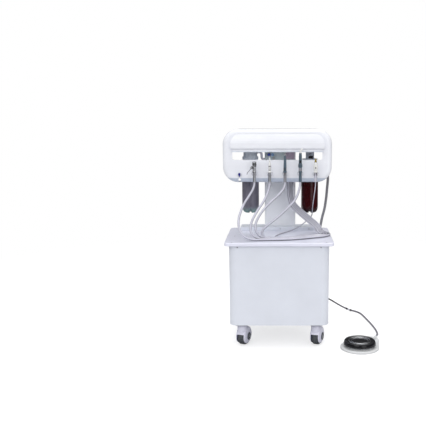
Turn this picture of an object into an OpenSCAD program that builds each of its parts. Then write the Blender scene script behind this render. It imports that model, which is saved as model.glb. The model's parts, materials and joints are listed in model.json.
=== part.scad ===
// Portable dental unit: a wheeled cabinet with a tray top, a column that
// carries the instrument head, two bottles, and a foot control on a hose.
// The origin is on the floor under the cabinet's centre. +Z is up, the user
// stands on the -Y side, and +X is the user's right. Sizes are millimetres.

/* [Cabinet] */
// Width of the cabinet across its two sides
cabinet_width = 420; // [400:1:450]
// Depth of the cabinet from its front to its rear edge
cabinet_depth = 380; // [370:1:400]
// Height of the cabinet walls
cabinet_height = 342; // [320:1:380]
// Radius of the two front vertical corners
cabinet_corner = 34; // [24:1:40]
// Thickness of the folded steel sheet
sheet = 2; // [1.5:0.1:2.5]
// Width of the inward flanges at the open edges of the sheet
flange = 14; // [12:1:18]
// Number of louvres in each column of the rear cover
louvre_count = 6; // [3:1:8]

/* [Tray] */
// How far the tray stands out past each side of the cabinet
tray_side_overhang = 18; // [12:1:24]
// How far the tray stands out past the front and rear of the cabinet
tray_end_overhang = 11; // [8:1:16]
// Thickness of the tray
tray_thickness = 14; // [11:1:18]
// Radius of the tray's vertical corners
tray_corner = 20; // [14:1:28]

/* [Column] */
// Distance from each side of the tray to the ledge that carries the column
plinth_margin = 47; // [44:1:80]
// Depth of the ledge
plinth_depth = 88; // [70:1:100]
// Height of the ledge
plinth_height = 16; // [12:1:24]
// Width of the column
column_width = 142; // [120:1:160]
// Depth of the column
column_depth = 38; // [30:1:50]
// Wall of the column
column_wall = 3; // [2:0.5:4]
// Sideways offset of the column and the bottles from the centre line
column_offset = 4; // [0:1:8]

/* [Head] */
// Width of the instrument head
head_width = 476; // [460:1:500]
// Height of the instrument head
head_height = 230; // [225:1:250]
// Depth of the head at its top
head_depth = 195; // [190:1:210]
// Depth of the head at its lower rim
head_rim_depth = 48; // [40:1:60]
// Radius of the head's outer corners
head_corner = 66; // [56:1:74]
// Radius of the rolled edge round the head's front
head_edge = 18; // [12:1:22]
// Wall of the head moulding
head_wall = 3; // [2.5:0.5:4]
// Height of the head's lower rim above the tray
head_rise = 231; // [225:1:260]
// Sideways offset of the head from the centre line
head_offset = -8; // [-12:1:0]
// Distance of the head's front face behind the cabinet's centre
head_front = 10; // [6:1:14]
// Width of the window through the head's front
window_width = 392; // [380:1:396]
// Height of the window
window_height = 39; // [34:1:42]
// Height of the window above the head's lower rim
window_rise = 98; // [94:1:102]
// Height of the bottle bracket above the head's lower rim
bracket_rise = 155; // [148:1:162]
// How far the upper panel stands out from the head's front
panel_proud = 12; // [8:1:13]
// Height of the rounded rail between the upper panel and the window
rail_height = 11; // [8:1:14]
// Width of the upper panel
panel_width = 408; // [398:1:420]

/* [Bottles] */
// Distance between the two bottle axes
bottle_spacing = 268; // [260:1:280]
// Diameter of a bottle
bottle_diameter = 76; // [70:1:80]
// Height of a bottle from its feet to its cap
bottle_height = 239; // [220:1:250]
// Outer radius of a bottle neck
neck_radius = 13.5; // [12:0.5:15]
// How far a neck reaches up into its cap
neck_insert = 13; // [10:1:16]
// Height of a bottle's shoulder and neck together
bottle_shoulder = 52; // [46:1:58]
// Wall of a bottle
bottle_wall = 1.2; // [1:0.1:2]
// Depth of the water in the left bottle
water_depth = 108; // [60:1:150]
// Diameter of a bottle cap's skirt
cap_diameter = 70; // [64:1:74]

/* [Instruments] */
// Distance between neighbouring holder positions
holder_pitch = 66; // [62:1:68]
// Distance of the instrument axes in front of the head
holder_reach = 32; // [30:1:36]
// Height of a holder clip
clip_height = 14; // [12:1:16]
// Radius of the bore of a holder clip
clip_bore = 7.1; // [7:0.1:7.6]
// Radius of the grey sleeve on each instrument hose
sleeve_radius = 6.4; // [5.6:0.1:6.6]
// Length of the sleeve below the holder clip
sleeve_length = 27; // [20:1:30]

/* [Casters] */
// Diameter of a caster wheel
wheel_diameter = 75; // [70:1:80]
// Width of a caster wheel's tread
wheel_width = 30; // [26:1:34]
// Height from the top of a wheel to the cabinet's underside
swivel_height = 23; // [21:1:28]
// Distance of a wheel's axle behind its swivel axis
caster_trail = 16; // [12:1:20]
// Thickness of each cheek beside the wheel
cheek_width = 13; // [10:1:14]
// Distance of a swivel axis from the cabinet's side
caster_side_inset = 52; // [48:1:60]
// Distance of a swivel axis from the cabinet's front or rear edge
caster_end_inset = 35; // [32:1:42]
// Angle that the casters are turned through at rest
caster_turn = 20; // [0:1:40]

/* [Foot control] */
// Radius of the round end of the foot control's base
foot_radius = 82; // [78:1:86]
// Radius of the narrow end of the foot control's base
foot_tail_radius = 42; // [36:1:48]
// Thickness of the foot control's base at its edge
foot_base_height = 9; // [7:1:12]
// Radius of the round pedal disc
disc_radius = 68; // [64:1:70]
// Height of the pedal disc's top above the floor
disc_top = 35; // [33:1:38]
// Distance that the pedal disc is pressed down
disc_travel = 5; // [3:0.5:5.5]

/* [Fits] */
// Gap between pieces that move past each other
gap = 0.3; // [0.2:0.05:0.5]
// Radial clearance of a pin or axle in its bore
running = 0.05; // [0.02:0.01:0.1]

/* [Hidden] */
$fn = 64;
little = 0.01;

// Heights and places that follow from the sizes above
cabinet_z = wheel_diameter + swivel_height;
tray_z = cabinet_z + cabinet_height;
deck_z = tray_z + tray_thickness;
tray_width = cabinet_width + 2 * tray_side_overhang;
tray_depth = cabinet_depth + 2 * tray_end_overhang;
plinth_width = tray_width - 2 * plinth_margin;
rear_y = cabinet_depth / 2;
tray_rear_y = tray_depth / 2;
caster_x = cabinet_width / 2 - caster_side_inset;
caster_y = cabinet_depth / 2 - caster_end_inset;
column_z = deck_z + plinth_height;
column_rear = tray_rear_y - 1;
column_front = column_rear - column_depth;
head_z = deck_z + head_rise;
head_top = head_z + head_height;
head_inner_y = head_front + head_wall;
head_rear = head_front + head_depth;
window_z = head_z + window_rise;
window_top = window_z + window_height;
bracket_z = head_z + bracket_rise;
bracket_rear = head_rear - 5;
bracket_width = head_width - 66;
cap_height = 61;
cap_skirt = 14;
cap_z = bracket_z - cap_height;
bottle_y = head_front + 100;
bottle_z = cap_z - bottle_height;
bottle_radius = bottle_diameter / 2;
water_x = column_offset - bottle_spacing / 2;
waste_x = column_offset + bottle_spacing / 2;
holder_y = head_front - holder_reach;
clip_z = head_z + 32;
clip_top = clip_z + clip_height;
sleeve_z = clip_z - sleeve_length + gap;
function holder_x(i) = head_offset + (i - 2.5) * holder_pitch;
toggle_x = holder_x(0);
syringe_x = holder_x(1);
motor_x = holder_x(2);
scaler_x = holder_x(3);
suction_x = holder_x(4);
curing_x = holder_x(5);
wheel_radius = wheel_diameter / 2;
steel = [0.87, 0.89, 0.93];
plastic_white = [0.91, 0.92, 0.95];
hose_grey = [0.80, 0.80, 0.86];
chrome = [0.75, 0.76, 0.80];
dark = [0.16, 0.17, 0.19];

// ---- General shapes ----

// A rectangle with round corners of one radius, centred on the origin
module round_rect(w, d, r) {
  square([w - 2 * r, d], center = true);
  square([w, d - 2 * r], center = true);
  for (sx = [-1, 1], sy = [-1, 1])
    translate([sx * (w / 2 - r), sy * (d / 2 - r)]) circle(r);
}

// The cabinet's footprint: large front corners and small rear ones
module footprint(w, d, r_front, r_rear) {
  translate([-w / 2 + r_front, -d / 2]) square([w - 2 * r_front, d / 2]);
  translate([-w / 2, -d / 2 + r_front]) square([w, d - r_front - r_rear]);
  translate([-w / 2 + r_rear, 0]) square([w - 2 * r_rear, d / 2]);
  for (s = [-1, 1]) {
    translate([s * (w / 2 - r_front), -d / 2 + r_front]) circle(r_front);
    translate([s * (w / 2 - r_rear), d / 2 - r_rear]) circle(r_rear);
  }
}

// Draws a flat (Y, Z) outline and gives it a width along X from x0 to x1
module along_x(x0, x1) {
  translate([x0, 0, 0]) rotate([90, 0, 90]) linear_extrude(x1 - x0) children();
}

// Draws a flat (X, Z) outline and gives it a depth along Y from y0 to y1
module along_y(y0, y1) {
  translate([0, y1, 0]) rotate([90, 0, 0]) linear_extrude(y1 - y0) children();
}

// A turned piece whose axis points along X, Y or any direction
module turned(points) {
  rotate_extrude() polygon(points);
}

function unit(v) = v / norm(v);

// Turns +Z into the direction v
module point_along(v) {
  rotate([0, acos(unit(v)[2]), atan2(v[1], v[0])]) children();
}

// A round rod between two points
module rod(a, b, r) {
  translate(a) point_along(b - a) cylinder(r = r, h = norm(b - a));
}

// ---- Swept hoses ----

// A point on the smooth curve through four route points
function route_point(a, b, c, d, t) = 0.5 * (2 * b + (c - a) * t
  + (2 * a - 5 * b + 4 * c - d) * t * t
  + (3 * b - a - 3 * c + d) * t * t * t);
function route_at(p, i) = i < 0 ? 2 * p[0] - p[1]
  : i > len(p) - 1 ? 2 * p[len(p) - 1] - p[len(p) - 2] : p[i];
function smooth_route(p, steps) = concat(
  [for (i = [0 : len(p) - 2], k = [0 : steps - 1])
    route_point(route_at(p, i - 1), p[i], p[i + 1], route_at(p, i + 2), k / steps)],
  [p[len(p) - 1]]);
function tangent(p, i) = unit(p[min(i + 1, len(p) - 1)] - p[max(i - 1, 0)]);
function square_to(v, t) = unit(v - (v * t) * t);
// Carries one sideways direction along the route without twist
function carry(p, side, i = 0) = i == len(p) ? []
  : let (s = square_to(side, tangent(p, i))) concat([s], carry(p, s, i + 1));

// A tube along a route: its end rings lie square to its first and last stretch
module hose(route, radius, side, sides = 8, steps = 2) {
  p = smooth_route(route, steps);
  s = carry(p, side);
  n = len(p);
  points = [for (i = [0 : n - 1], k = [0 : sides - 1])
    let (t = tangent(p, i), a = 360 * k / sides)
    p[i] + radius * (cos(a) * s[i] + sin(a) * cross(t, s[i]))];
  walls = [for (i = [0 : n - 2], k = [0 : sides - 1])
    let (a = i * sides + k, b = i * sides + (k + 1) % sides)
    each [[a, b + sides, b], [a, a + sides, b + sides]]];
  first = [for (k = [0 : sides - 1]) k];
  last = [for (k = [sides - 1 : -1 : 0]) (n - 1) * sides + k];
  polyhedron(points, concat(walls, [first, last]), convexity = 10);
}

hose_radius = 5;
cable_radius = 2.25;
umbilical_radius = 6;
foot_hose_radius = 4;

// Route points, chosen by hand: from the sleeve under each holder down to the
// tray, along its front, round its right end and up to the head
syringe_route = [
  [-107, -22, 690], [-107.8, -23.4, 677], [-114.5, -33, 656.5], [-129, -53, 633], [-147, -77, 606],
  [-160, -101, 579], [-169, -127, 548], [-169, -147, 518], [-159, -160, 491], [-138, -161, 471],
  [-108, -156, 461], [-72, -151, 459.5], [-17, -147, 459.5], [40, -138, 459.5], [92, -119, 459.5],
  [138, -95, 459.5], [172, -78, 459.5], [199.5, -59.5, 459.5], [216, -34, 459.5], [220, -4, 459.5],
  [211, 26, 460], [193, 48, 469], [174, 60, 494], [133, 71, 528], [97, 81, 558], [71, 91, 584],
  [59, 100, 614], [57, 103, 650], [64, 102, 690], [64, 102, 701], [64, 102, 712]];
motor_route = [
  [-41, -22, 690], [-41.5, -22.5, 677], [-47, -31, 654], [-57, -49, 629], [-72, -74, 603],
  [-93, -99, 574], [-111, -122, 543], [-120, -136, 513], [-116, -144, 486], [-97, -144, 468],
  [-65, -139, 460], [-17, -135, 459.5], [36, -126, 459.5], [86, -107, 459.5], [131, -82, 459.5],
  [163, -68, 459.5], [191, -51, 459.5], [204.5, -30, 459.5], [208, -5, 459.5], [200, 19, 460],
  [185.5, 39, 468], [170, 50, 490], [129, 61, 524], [93, 71, 554], [66, 81, 581], [54, 90, 612],
  [51, 93, 650], [56, 93, 690], [56, 93, 701], [56, 93, 712]];
scaler_route = [
  [25, -22, 690], [24.5, -22.5, 677], [16, -30, 657], [-2, -44, 637], [-29, -63, 614],
  [-58, -86, 588], [-82, -107, 558], [-97, -121, 529], [-100, -129, 504], [-92, -130, 483],
  [-74, -127, 467], [-42, -123, 460], [0, -120, 459.5], [40, -111, 459.5], [83, -93, 459.5],
  [124, -69, 459.5], [155, -58, 459.5], [183, -43, 459.5], [193.5, -26, 459.5], [196, -6, 459.5],
  [190, 13, 460], [178.5, 31, 467], [166, 40, 486], [125, 51, 520], [89, 61, 550], [61, 71, 578],
  [49, 80, 610], [45, 83, 650], [48, 84, 690], [48, 84, 701], [48, 84, 712]];
suction_route = [
  [91, -22, 690], [90.5, -22.5, 677], [86, -28, 656], [77, -39, 631], [61, -54, 606], [37, -69, 584],
  [8, -83, 558], [-21, -95, 534.5], [-42, -101.5, 519], [-56, -105.3, 507],
  [-65, -108, 500], [-72.5, -109.7, 486], [-71, -110.7, 472.5], [-63, -111, 463.2],
  [-53, -110.6, 459.6], [-37, -109.7, 459.5], [-18, -107.8, 459.5], [8, -105.3, 459.5], [40, -98, 459.5], [82, -79, 459.5],
  [117, -57, 459.5], [148, -48, 459.5], [174, -34, 459.5], [183, -20, 459.5], [184, -4, 459.5],
  [180, 8.3, 460.7], [171, 19, 466.5], [159.5, 30, 484], [121, 41, 516], [85, 51, 546], [56, 61, 575],
  [43, 70, 608], [39, 74, 650], [40, 75, 690], [40, 75, 701], [40, 75, 712]];
curing_route = [
  [157, -22, 690], [157, -22, 674], [154, -14, 642], [150, 12, 600], [148, 43, 562],
  [147, 67, 534], [139, 92, 516], [116, 110, 492], [86, 108, 471], [55, 90, 459], [28, 56, 456.5],
  [4, 12, 456.5], [-12, -32, 456.5], [-17, -62, 456.5], [-8, -84, 456.5], [16, -91, 456.5],
  [44, -81, 456.5], [80, -62, 456.5], [111, -45, 456.5], [142, -40, 456.5], [168, -27, 456.5],
  [174, -16, 456.5], [171.5, -2, 458], [161, 11, 463.5], [155, 20, 481], [118, 33, 512.5],
  [82, 43, 542.5], [51, 53, 573], [38, 63, 607], [34, 67, 650], [34, 68.5, 690], [34, 68.5, 701], [34, 68.5, 712]];
// From the head's right end down behind the tray to the rear cover
umbilical_route = [
  [212, 150, 826], [212, 150, 800], [212, 150, 775], [214, 151, 752], [220, 154, 727], [224, 162, 690], [222, 175, 645],
  [219, 189, 596], [213, 203, 545], [204, 213, 505], [197, 219, 467], [193, 221.6, 440],
  [192, 222, 425], [192, 222, 415], [192, 222, 405]];
// From the rear cover down to the floor and round to the foot control
foot_route = [
  [150, 214, 130], [150, 226, 130], [150, 239, 130], [156, 263, 125.5], [180, 284, 110], [222, 298, 89],
  [254, 308, 72], [290, 322, 47], [326, 338, 23], [358, 344, 8], [385, 331, 4.2],
  [403, 300, 4.2], [413, 260, 4.2], [422, 205, 4.2], [431, 150, 4.2], [438, 95, 4.2],
  [443, 45, 4.2], [444, 0, 4.3], [441, -34, 7.5], [437, -54, 12.5],
  [432, -70, 14.5], [428.5, -78.5, 14.5], [425, -87, 14.5]];

// ---- Cabinet ----

// Pressed floor of the cabinet with an upturned edge
module base_pan() {
  w = cabinet_width - 2 * sheet;
  d = cabinet_depth - 2 * sheet;
  corner = cabinet_corner - sheet + 3;
  lip = flange + sheet;
  color(steel) translate([0, 0, cabinet_z]) {
    linear_extrude(sheet) footprint(w, d, corner, 8);
    linear_extrude(lip) difference() {
      footprint(w, d, corner, 8);
      footprint(w - 2 * sheet, d - 2 * sheet, corner - sheet, 8 - sheet);
    }
  }
}

// Front and sides in one folded sheet, with returns at the rear and the top
module cabinet_shell() {
  rear_corner = 6;
  open_w = cabinet_width - 2 * (flange + sheet);
  color(steel) {
    difference() {
      translate([0, 0, cabinet_z]) linear_extrude(cabinet_height) difference() {
        footprint(cabinet_width, cabinet_depth, cabinet_corner, rear_corner);
        footprint(cabinet_width - 2 * sheet, cabinet_depth - 2 * sheet,
          cabinet_corner - sheet, rear_corner - sheet);
      }
      translate([-open_w / 2, rear_y - sheet - 1, cabinet_z - 1])
        cube([open_w, sheet + 2, cabinet_height + 2]);
    }
    translate([0, 0, tray_z - sheet]) linear_extrude(sheet) difference() {
      footprint(cabinet_width, cabinet_depth, cabinet_corner, rear_corner);
      footprint(cabinet_width - 2 * flange, cabinet_depth - 2 * flange,
        cabinet_corner - flange + 4, rear_corner);
    }
  }
}

// The inlet, the rocker switch and the hose fittings sit on the rear cover
inlet_x = -110;
inlet_z = cabinet_z + 52;
inlet_w = 52;
inlet_h = 24;
cover_y = rear_y + sheet;
foot_fitting = foot_route[0];
umbilical_end = umbilical_route[len(umbilical_route) - 1];

module rear_cover() {
  w = cabinet_width - 16;
  h = cabinet_height - 10;
  pitch = 17;
  louvre_w = 120;
  louvre_z = tray_z - 40;
  louvre_rise = 9;
  hood = 5;
  color(steel) {
    difference() {
      along_y(rear_y, cover_y) translate([0, cabinet_z + cabinet_height / 2])
        round_rect(w, h, 6);
      for (s = [-1, 1], i = [0 : louvre_count - 1])
        translate([s * 88 - louvre_w / 2, rear_y - 1, louvre_z - i * pitch])
          cube([louvre_w, sheet + 2, louvre_rise - 3]);
      translate([inlet_x - inlet_w / 2 - 1, rear_y - 1, inlet_z - inlet_h / 2 - 1])
        cube([inlet_w + 2, sheet + 2, inlet_h + 2]);
    }
    // Each louvre is a sloping hood with two closed ends over its slot
    for (s = [-1, 1], i = [0 : louvre_count - 1]) {
      x0 = s * 88 - louvre_w / 2 - 1;
      z0 = louvre_z - i * pitch;
      along_x(x0, x0 + louvre_w + 2) polygon([
        [cover_y, z0 + louvre_rise], [cover_y + hood, z0],
        [cover_y + hood - 1, z0], [cover_y, z0 + louvre_rise - 1.8]]);
      for (x = [x0, x0 + louvre_w + 1])
        along_x(x, x + 1) polygon([
          [cover_y, z0 + louvre_rise], [cover_y + hood, z0], [cover_y, z0]]);
    }
  }
}

// A tray with rounded upper edges and a pocket underneath
module tray_top() {
  edge = 3;
  pocket = tray_thickness - 4;
  color([0.86, 0.87, 0.92]) difference() {
    translate([0, 0, tray_z]) hull() {
      for (sx = [-1, 1], sy = [-1, 1])
        translate([sx * (tray_width / 2 - tray_corner),
            sy * (tray_depth / 2 - tray_corner), 0])
          rotate_extrude($fn = 32) polygon(concat(
            [[0, 0], [tray_corner - 1, 0], [tray_corner, 1]],
            [for (a = [0 : 22.5 : 90])
              [tray_corner - edge + edge * cos(a), tray_thickness - edge + edge * sin(a)]],
            [[0, tray_thickness]]));
    }
    translate([0, 0, tray_z - 1]) linear_extrude(pocket + 1)
      round_rect(cabinet_width - 2 * flange, cabinet_depth - 2 * flange, 24);
  }
}

// The ledge under the column, hollow from below
module plinth() {
  color(steel) translate([0, column_rear + 1 - plinth_depth / 2, deck_z]) difference() {
    translate([column_offset, 0, 0]) linear_extrude(plinth_height)
      round_rect(plinth_width, plinth_depth, 8);
    translate([column_offset, 0, -1]) linear_extrude(plinth_height - 2)
      round_rect(plinth_width - 2 * column_wall, plinth_depth - 2 * column_wall, 5);
  }
}

// The square tube that carries the head, closed by a plate at its top
module column() {
  corner = 10;
  height = bracket_z - column_z;
  color([0.80, 0.80, 0.87]) translate([column_offset, column_front + column_depth / 2, column_z])
    difference() {
      linear_extrude(height) round_rect(column_width, column_depth, corner);
      translate([0, 0, -1]) linear_extrude(height - 3)
        round_rect(column_width - 2 * column_wall, column_depth - 2 * column_wall,
          corner - column_wall);
    }
}

screw_radius = 2.8;
module screw_head() {
  turned([[0, 0], [screw_radius, 0], [screw_radius, 0.6], [1.9, 1.5], [0, 1.8]]);
}

// Dome-headed screws of the tray, cabinet front, ledge and rear cover
module panel_screws() {
  front_x = cabinet_width / 2 - cabinet_corner - screw_radius;
  side_x = cabinet_width / 2 - 16;
  deck_x = tray_width / 2 - 31;
  ledge_pitch = plinth_width / 2 - 49;
  color(dark) {
    for (s = [-1, 1], y = [-tray_depth / 2 + 12, tray_depth / 2 - 41])
      translate([s * deck_x, y, deck_z]) screw_head();
    translate([-deck_x + 3, -35, deck_z]) screw_head();
    for (s = [-1, 1])
      translate([s * front_x, -cabinet_depth / 2, tray_z - 6]) rotate([90, 0, 0]) screw_head();
    for (i = [-1, 0, 1])
      translate([column_offset + ledge_pitch * i, column_rear + 1 - plinth_depth, deck_z + plinth_height / 2])
        rotate([90, 0, 0]) screw_head();
    for (s = [-1, 1], z = [cabinet_z + 20, (cabinet_z + tray_z) / 2, tray_z - 20])
      translate([s * side_x, cover_y, z]) rotate([-90, 0, 0]) screw_head();
  }
}

// ---- Casters ----

plate_thickness = 3.5;
race_height = 1.2;
kingpin_radius = 6;
kingpin_length = 13;
axle_radius = 5;
neck_top = cabinet_z - plate_thickness - race_height - gap;
fork_width = wheel_width + 2 + 2 * cheek_width;

module at_caster(sx, sy) {
  translate([sx * caster_x, sy * caster_y, 0]) children();
}

// A top plate with its race, kingpin and bolts at each corner of the cabinet
module caster_plates() {
  bolt_place = 21;
  color(chrome) for (sx = [-1, 1], sy = [-1, 1]) at_caster(sx, sy) {
    translate([0, 0, cabinet_z - plate_thickness]) linear_extrude(plate_thickness)
      round_rect(56, 56, 6);
    translate([0, 0, neck_top + gap]) cylinder(r = 19, h = race_height + little);
    translate([0, 0, neck_top - kingpin_length]) cylinder(r = kingpin_radius, h = kingpin_length + 1);
    for (bx = [-1, 1], by = [-1, 1])
      translate([bx * bolt_place, by * bolt_place, cabinet_z - plate_thickness - 1.8])
        cylinder(r = 3.4, h = 1.8 + little);
  }
}

// Places a shape drawn about the axle, with the axle along X
module at_axle() {
  translate([0, caster_trail, wheel_radius]) rotate([0, 90, 0]) children();
}

// White hood: an arched cover over the wheel, a neck and two round cheeks
module caster_hood(sx, sy) {
  pocket_radius = wheel_radius + 1.2;
  hood_radius = pocket_radius + 2.6;
  cheek_radius = wheel_radius - 4;
  arch_z = wheel_radius + 3;
  neck_z = wheel_radius + 27;
  color(plastic_white) at_caster(sx, sy) rotate([0, 0, -caster_turn]) difference() {
    union() {
      intersection() {
        at_axle() cylinder(r = hood_radius, h = fork_width, center = true);
        translate([-fork_width, caster_trail - hood_radius - 1, arch_z])
          cube([2 * fork_width, 2 * hood_radius + 2, hood_radius]);
      }
      translate([0, 0, neck_z]) cylinder(r = 21, h = neck_top - neck_z);
      for (s = [-1, 1])
        at_axle() translate([0, 0, s * (fork_width - cheek_width) / 2])
          cylinder(r = cheek_radius, h = cheek_width, center = true);
    }
    at_axle() cylinder(r = pocket_radius, h = wheel_width + 2, center = true);
    at_axle() cylinder(r = axle_radius + running, h = fork_width + 2, center = true);
    translate([0, 0, neck_top - kingpin_length - 0.5])
      cylinder(r = kingpin_radius + running, h = kingpin_length + 2);
  }
}

// Dark wheel with its axle and the two round hub caps on the axle's ends
module caster_wheel(sx, sy) {
  half = wheel_width / 2;
  cap_radius = 16;
  color(dark) at_caster(sx, sy) rotate([0, 0, -caster_turn]) at_axle() {
    turned([
      [0, -half], [wheel_radius - 6, -half], [wheel_radius - 1.5, -half + 2.5],
      [wheel_radius, -half + 6], [wheel_radius, half - 6],
      [wheel_radius - 1.5, half - 2.5], [wheel_radius - 6, half], [0, half]]);
    cylinder(r = axle_radius, h = fork_width + 4, center = true);
    for (s = [0, 180]) rotate([s, 0, 0]) translate([0, 0, fork_width / 2 + gap])
      turned([[0, 0], [cap_radius, 0], [cap_radius, 2], [cap_radius - 2, 4], [0, 4.6]]);
  }
}

// ---- Head ----

// The head's solid form: four round corners joined, with a rolled front edge
module head_block(inset, y0, y1) {
  corner = head_corner - inset;
  edge = head_edge - inset;
  half = head_width / 2 - head_corner;
  translate([head_offset, y0, head_z + head_height / 2]) hull()
    for (sx = [-1, 1], sz = [-1, 1])
      translate([sx * half, 0, sz * (head_height / 2 - head_corner)]) rotate([-90, 0, 0])
        rotate_extrude($fn = 48) polygon(concat([[0, 0]],
          [for (a = [90 : -18 : 0]) [corner - edge + edge * cos(a), edge - edge * sin(a)]],
          [[corner, y1 - y0], [0, y1 - y0]]));
}

// The fascia is deep at its top and shallow at its lower rim, open behind,
// with a window through its front and a hose notch in its lower rim
module head_fascia() {
  notch = 10;
  color(plastic_white) difference() {
    intersection() {
      head_block(0, head_front, head_rear);
      along_x(head_offset - head_width, head_offset + head_width) polygon([
        [head_front - 1, head_z - 1], [head_front + head_rim_depth, head_z - 1],
        [head_rear - 15, bracket_z - 5], [head_rear, bracket_z + 10],
        [head_rear, head_top + 1], [head_front - 1, head_top + 1]]);
    }
    head_block(head_wall, head_inner_y, head_rear + 20);
    along_y(head_front - 1, head_inner_y + 1) translate([head_offset, window_z + window_height / 2])
      round_rect(window_width, window_height, 8);
    along_y(head_front - 1, head_front + 22) {
      translate([toggle_x - notch / 2, head_z - 1]) square([notch, 14]);
      translate([toggle_x, head_z + 13]) circle(notch / 2);
    }
  }
}

// The raised panel above the window, with a lip that rolls under, and the
// rail below it that rounds off the window's upper edge
module head_upper_panel() {
  lip = 9;
  rail_lap = 5;
  front = head_front - panel_proud;
  rail_front = front + 4;
  low = window_top + rail_height - rail_lap;
  high = head_top - head_edge - 2;
  corner = 44;
  color(plastic_white) intersection() {
    along_x(head_offset - panel_width, head_offset + panel_width) polygon(concat(
      [[head_front, low]],
      [for (a = [270 : -15 : 180]) [front + lip + lip * cos(a), low + lip + lip * sin(a)]],
      [for (t = [0.2 : 0.2 : 1])
        [front + panel_proud * t * t, low + lip + 8 + (high - low - lip - 8) * t]]));
    along_y(front - 1, head_front + 1) translate([head_offset, 0]) {
      translate([-panel_width / 2, low]) square([panel_width, high - corner - low]);
      translate([-panel_width / 2 + corner, low]) square([panel_width - 2 * corner, high - low]);
      for (s = [-1, 1]) translate([s * (panel_width / 2 - corner), high - corner]) circle(corner);
    }
  }
  color(plastic_white) intersection() {
    along_x(head_offset - panel_width, head_offset + panel_width) polygon(concat(
      [[head_front, low + little], [rail_front, low + little]],
      [for (a = [180 : 15 : 270]) [head_front + (head_front - rail_front) * cos(a),
        low - 1 + (rail_height - 1) * sin(a)]]));
    along_y(front, head_front + 1) translate([head_offset, window_z + window_height / 2])
      round_rect(window_width, window_height + 2 * rail_height, rail_height);
  }
}

// Folded bracket inside the head: it lies on the column and carries the caps.
// The umbilical hose starts at a fitting under its ear.
module head_bracket() {
  thickness = 3;
  hose = umbilical_route[0];
  front_flange = 36;
  rear_flange = 58;
  half = bracket_width / 2;
  color(chrome) {
    translate([head_offset - half, head_inner_y, bracket_z])
      cube([bracket_width, bracket_rear - head_inner_y, thickness]);
    translate([head_offset - half, head_inner_y, bracket_z])
      cube([bracket_width, thickness, front_flange]);
    translate([head_offset - half + 20, bracket_rear - thickness, bracket_z])
      cube([bracket_width - 40, thickness, rear_flange]);
    for (s = [-1, 1])
      along_x(head_offset + s * 66 - 1.5, head_offset + s * 66 + 1.5) polygon([
        [head_inner_y, bracket_z + thickness], [bracket_rear, bracket_z + thickness],
        [bracket_rear, bracket_z + rear_flange], [head_inner_y, bracket_z + front_flange]]);
    translate([head_offset + half - 1, hose[1] - 16, bracket_z])
      cube([hose[0] + 9 - head_offset - half, 32, thickness]);
    translate([hose[0], hose[1], bracket_z - 8]) cylinder(r = 9, h = 8 + little, $fn = 6);
    translate([hose[0], hose[1], hose[2] + gap]) cylinder(r = 5, h = bracket_z - hose[2] - gap);
  }
}

// Closes the head's rear above the bracket
module head_rear_cover() {
  inset = head_wall + 1;
  low = bracket_z + 3;
  color(plastic_white) along_y(bracket_rear, bracket_rear + sheet) translate([head_offset, 0])
    intersection() {
      translate([0, head_z + head_height / 2])
        round_rect(head_width - 2 * inset, head_height - 2 * inset, head_corner - inset);
      translate([-head_width, low]) square([2 * head_width, head_height]);
    }
}

// ---- Valves, bottles and lines inside the head ----

block_half = 68;
block_front = column_front - 44;
block_z = window_z - 11;
barb_z = syringe_route[len(syringe_route) - 1][2] + gap;
knob_x = column_offset - 50;
knob_z = window_z + 18;
knob_shaft = 3;
barbs = [[64, 102], [56, 93], [48, 84], [40, 75]];
gland = [34, 68.5];

// Valve block on the column's front, and below it the manifold with a barb
// for each hose
module control_block() {
  manifold_z = block_z - 34;
  color([0.34, 0.40, 0.42]) difference() {
    union() {
      translate([column_offset - block_half, block_front, block_z])
        cube([2 * block_half, column_front - block_front, bracket_z - 4 - block_z]);
      translate([24, 60, manifold_z]) cube([54, column_front - 60, block_z - manifold_z + little]);
      for (b = barbs) {
        translate([b[0], b[1], barb_z]) cylinder(r = 4.4, h = manifold_z - barb_z + 1);
        translate([b[0], b[1], manifold_z - 9]) cylinder(r = 5.4, h = 10);
      }
      translate([gland[0], gland[1], barb_z]) cylinder(r = 3, h = manifold_z - barb_z + 1);
      for (p = [[column_offset - 34, 18, 6], [column_offset - 29, 0, 5]])
        translate([p[0], block_front, window_z + p[1]]) rotate([90, 0, 0]) cylinder(r = p[2], h = 12);
      translate([column_offset + 24, block_front - 10, block_z + 6])
        cube([block_half - 26, 10 + little, bracket_z - block_z - 20]);
    }
    translate([knob_x, block_front, knob_z]) rotate([90, 0, 0])
      cylinder(r = knob_shaft + running, h = 24, center = true);
  }
}

// Blue knob of the water flow valve
module flow_knob() {
  knob_radius = 6;
  color([0.15, 0.25, 0.62]) translate([knob_x, block_front, knob_z]) rotate([90, 0, 0]) {
    translate([0, 0, -11]) cylinder(r = knob_shaft, h = 12);
    difference() {
      translate([0, 0, gap]) cylinder(r = knob_radius, h = 12);
      for (a = [0 : 45 : 315]) rotate([0, 0, a])
        translate([knob_radius + 0.6, 0, 4]) cylinder(r = 1.4, h = 12, $fn = 16);
    }
  }
}

line_radius = 5.5;
port_end = water_x + 34;
port_z = window_z + 29;
tube_radius = 3;
pickup_rise = 24;

// Cap of the water bottle: a skirt round the neck, a body up to the bracket,
// a side port, and the pickup tube that reaches down into the water
module water_bottle_cap() {
  body = 30;
  color([0.66, 0.66, 0.70]) {
    difference() {
      translate([water_x, bottle_y, 0]) union() {
        translate([0, 0, cap_z]) cylinder(d = cap_diameter, h = cap_skirt);
        translate([0, 0, cap_z]) cylinder(r = body, h = cap_height);
      }
      translate([water_x, bottle_y, cap_z - 1])
        cylinder(r = neck_radius + gap, h = neck_insert + 2);
    }
    translate([water_x, bottle_y, port_z]) rotate([0, 90, 0]) cylinder(r = line_radius + 1, h = port_end - water_x);
    translate([water_x, bottle_y, bottle_z + pickup_rise])
      cylinder(r = tube_radius, h = bottle_height + neck_insert + 4 - pickup_rise);
  }
}

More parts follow.
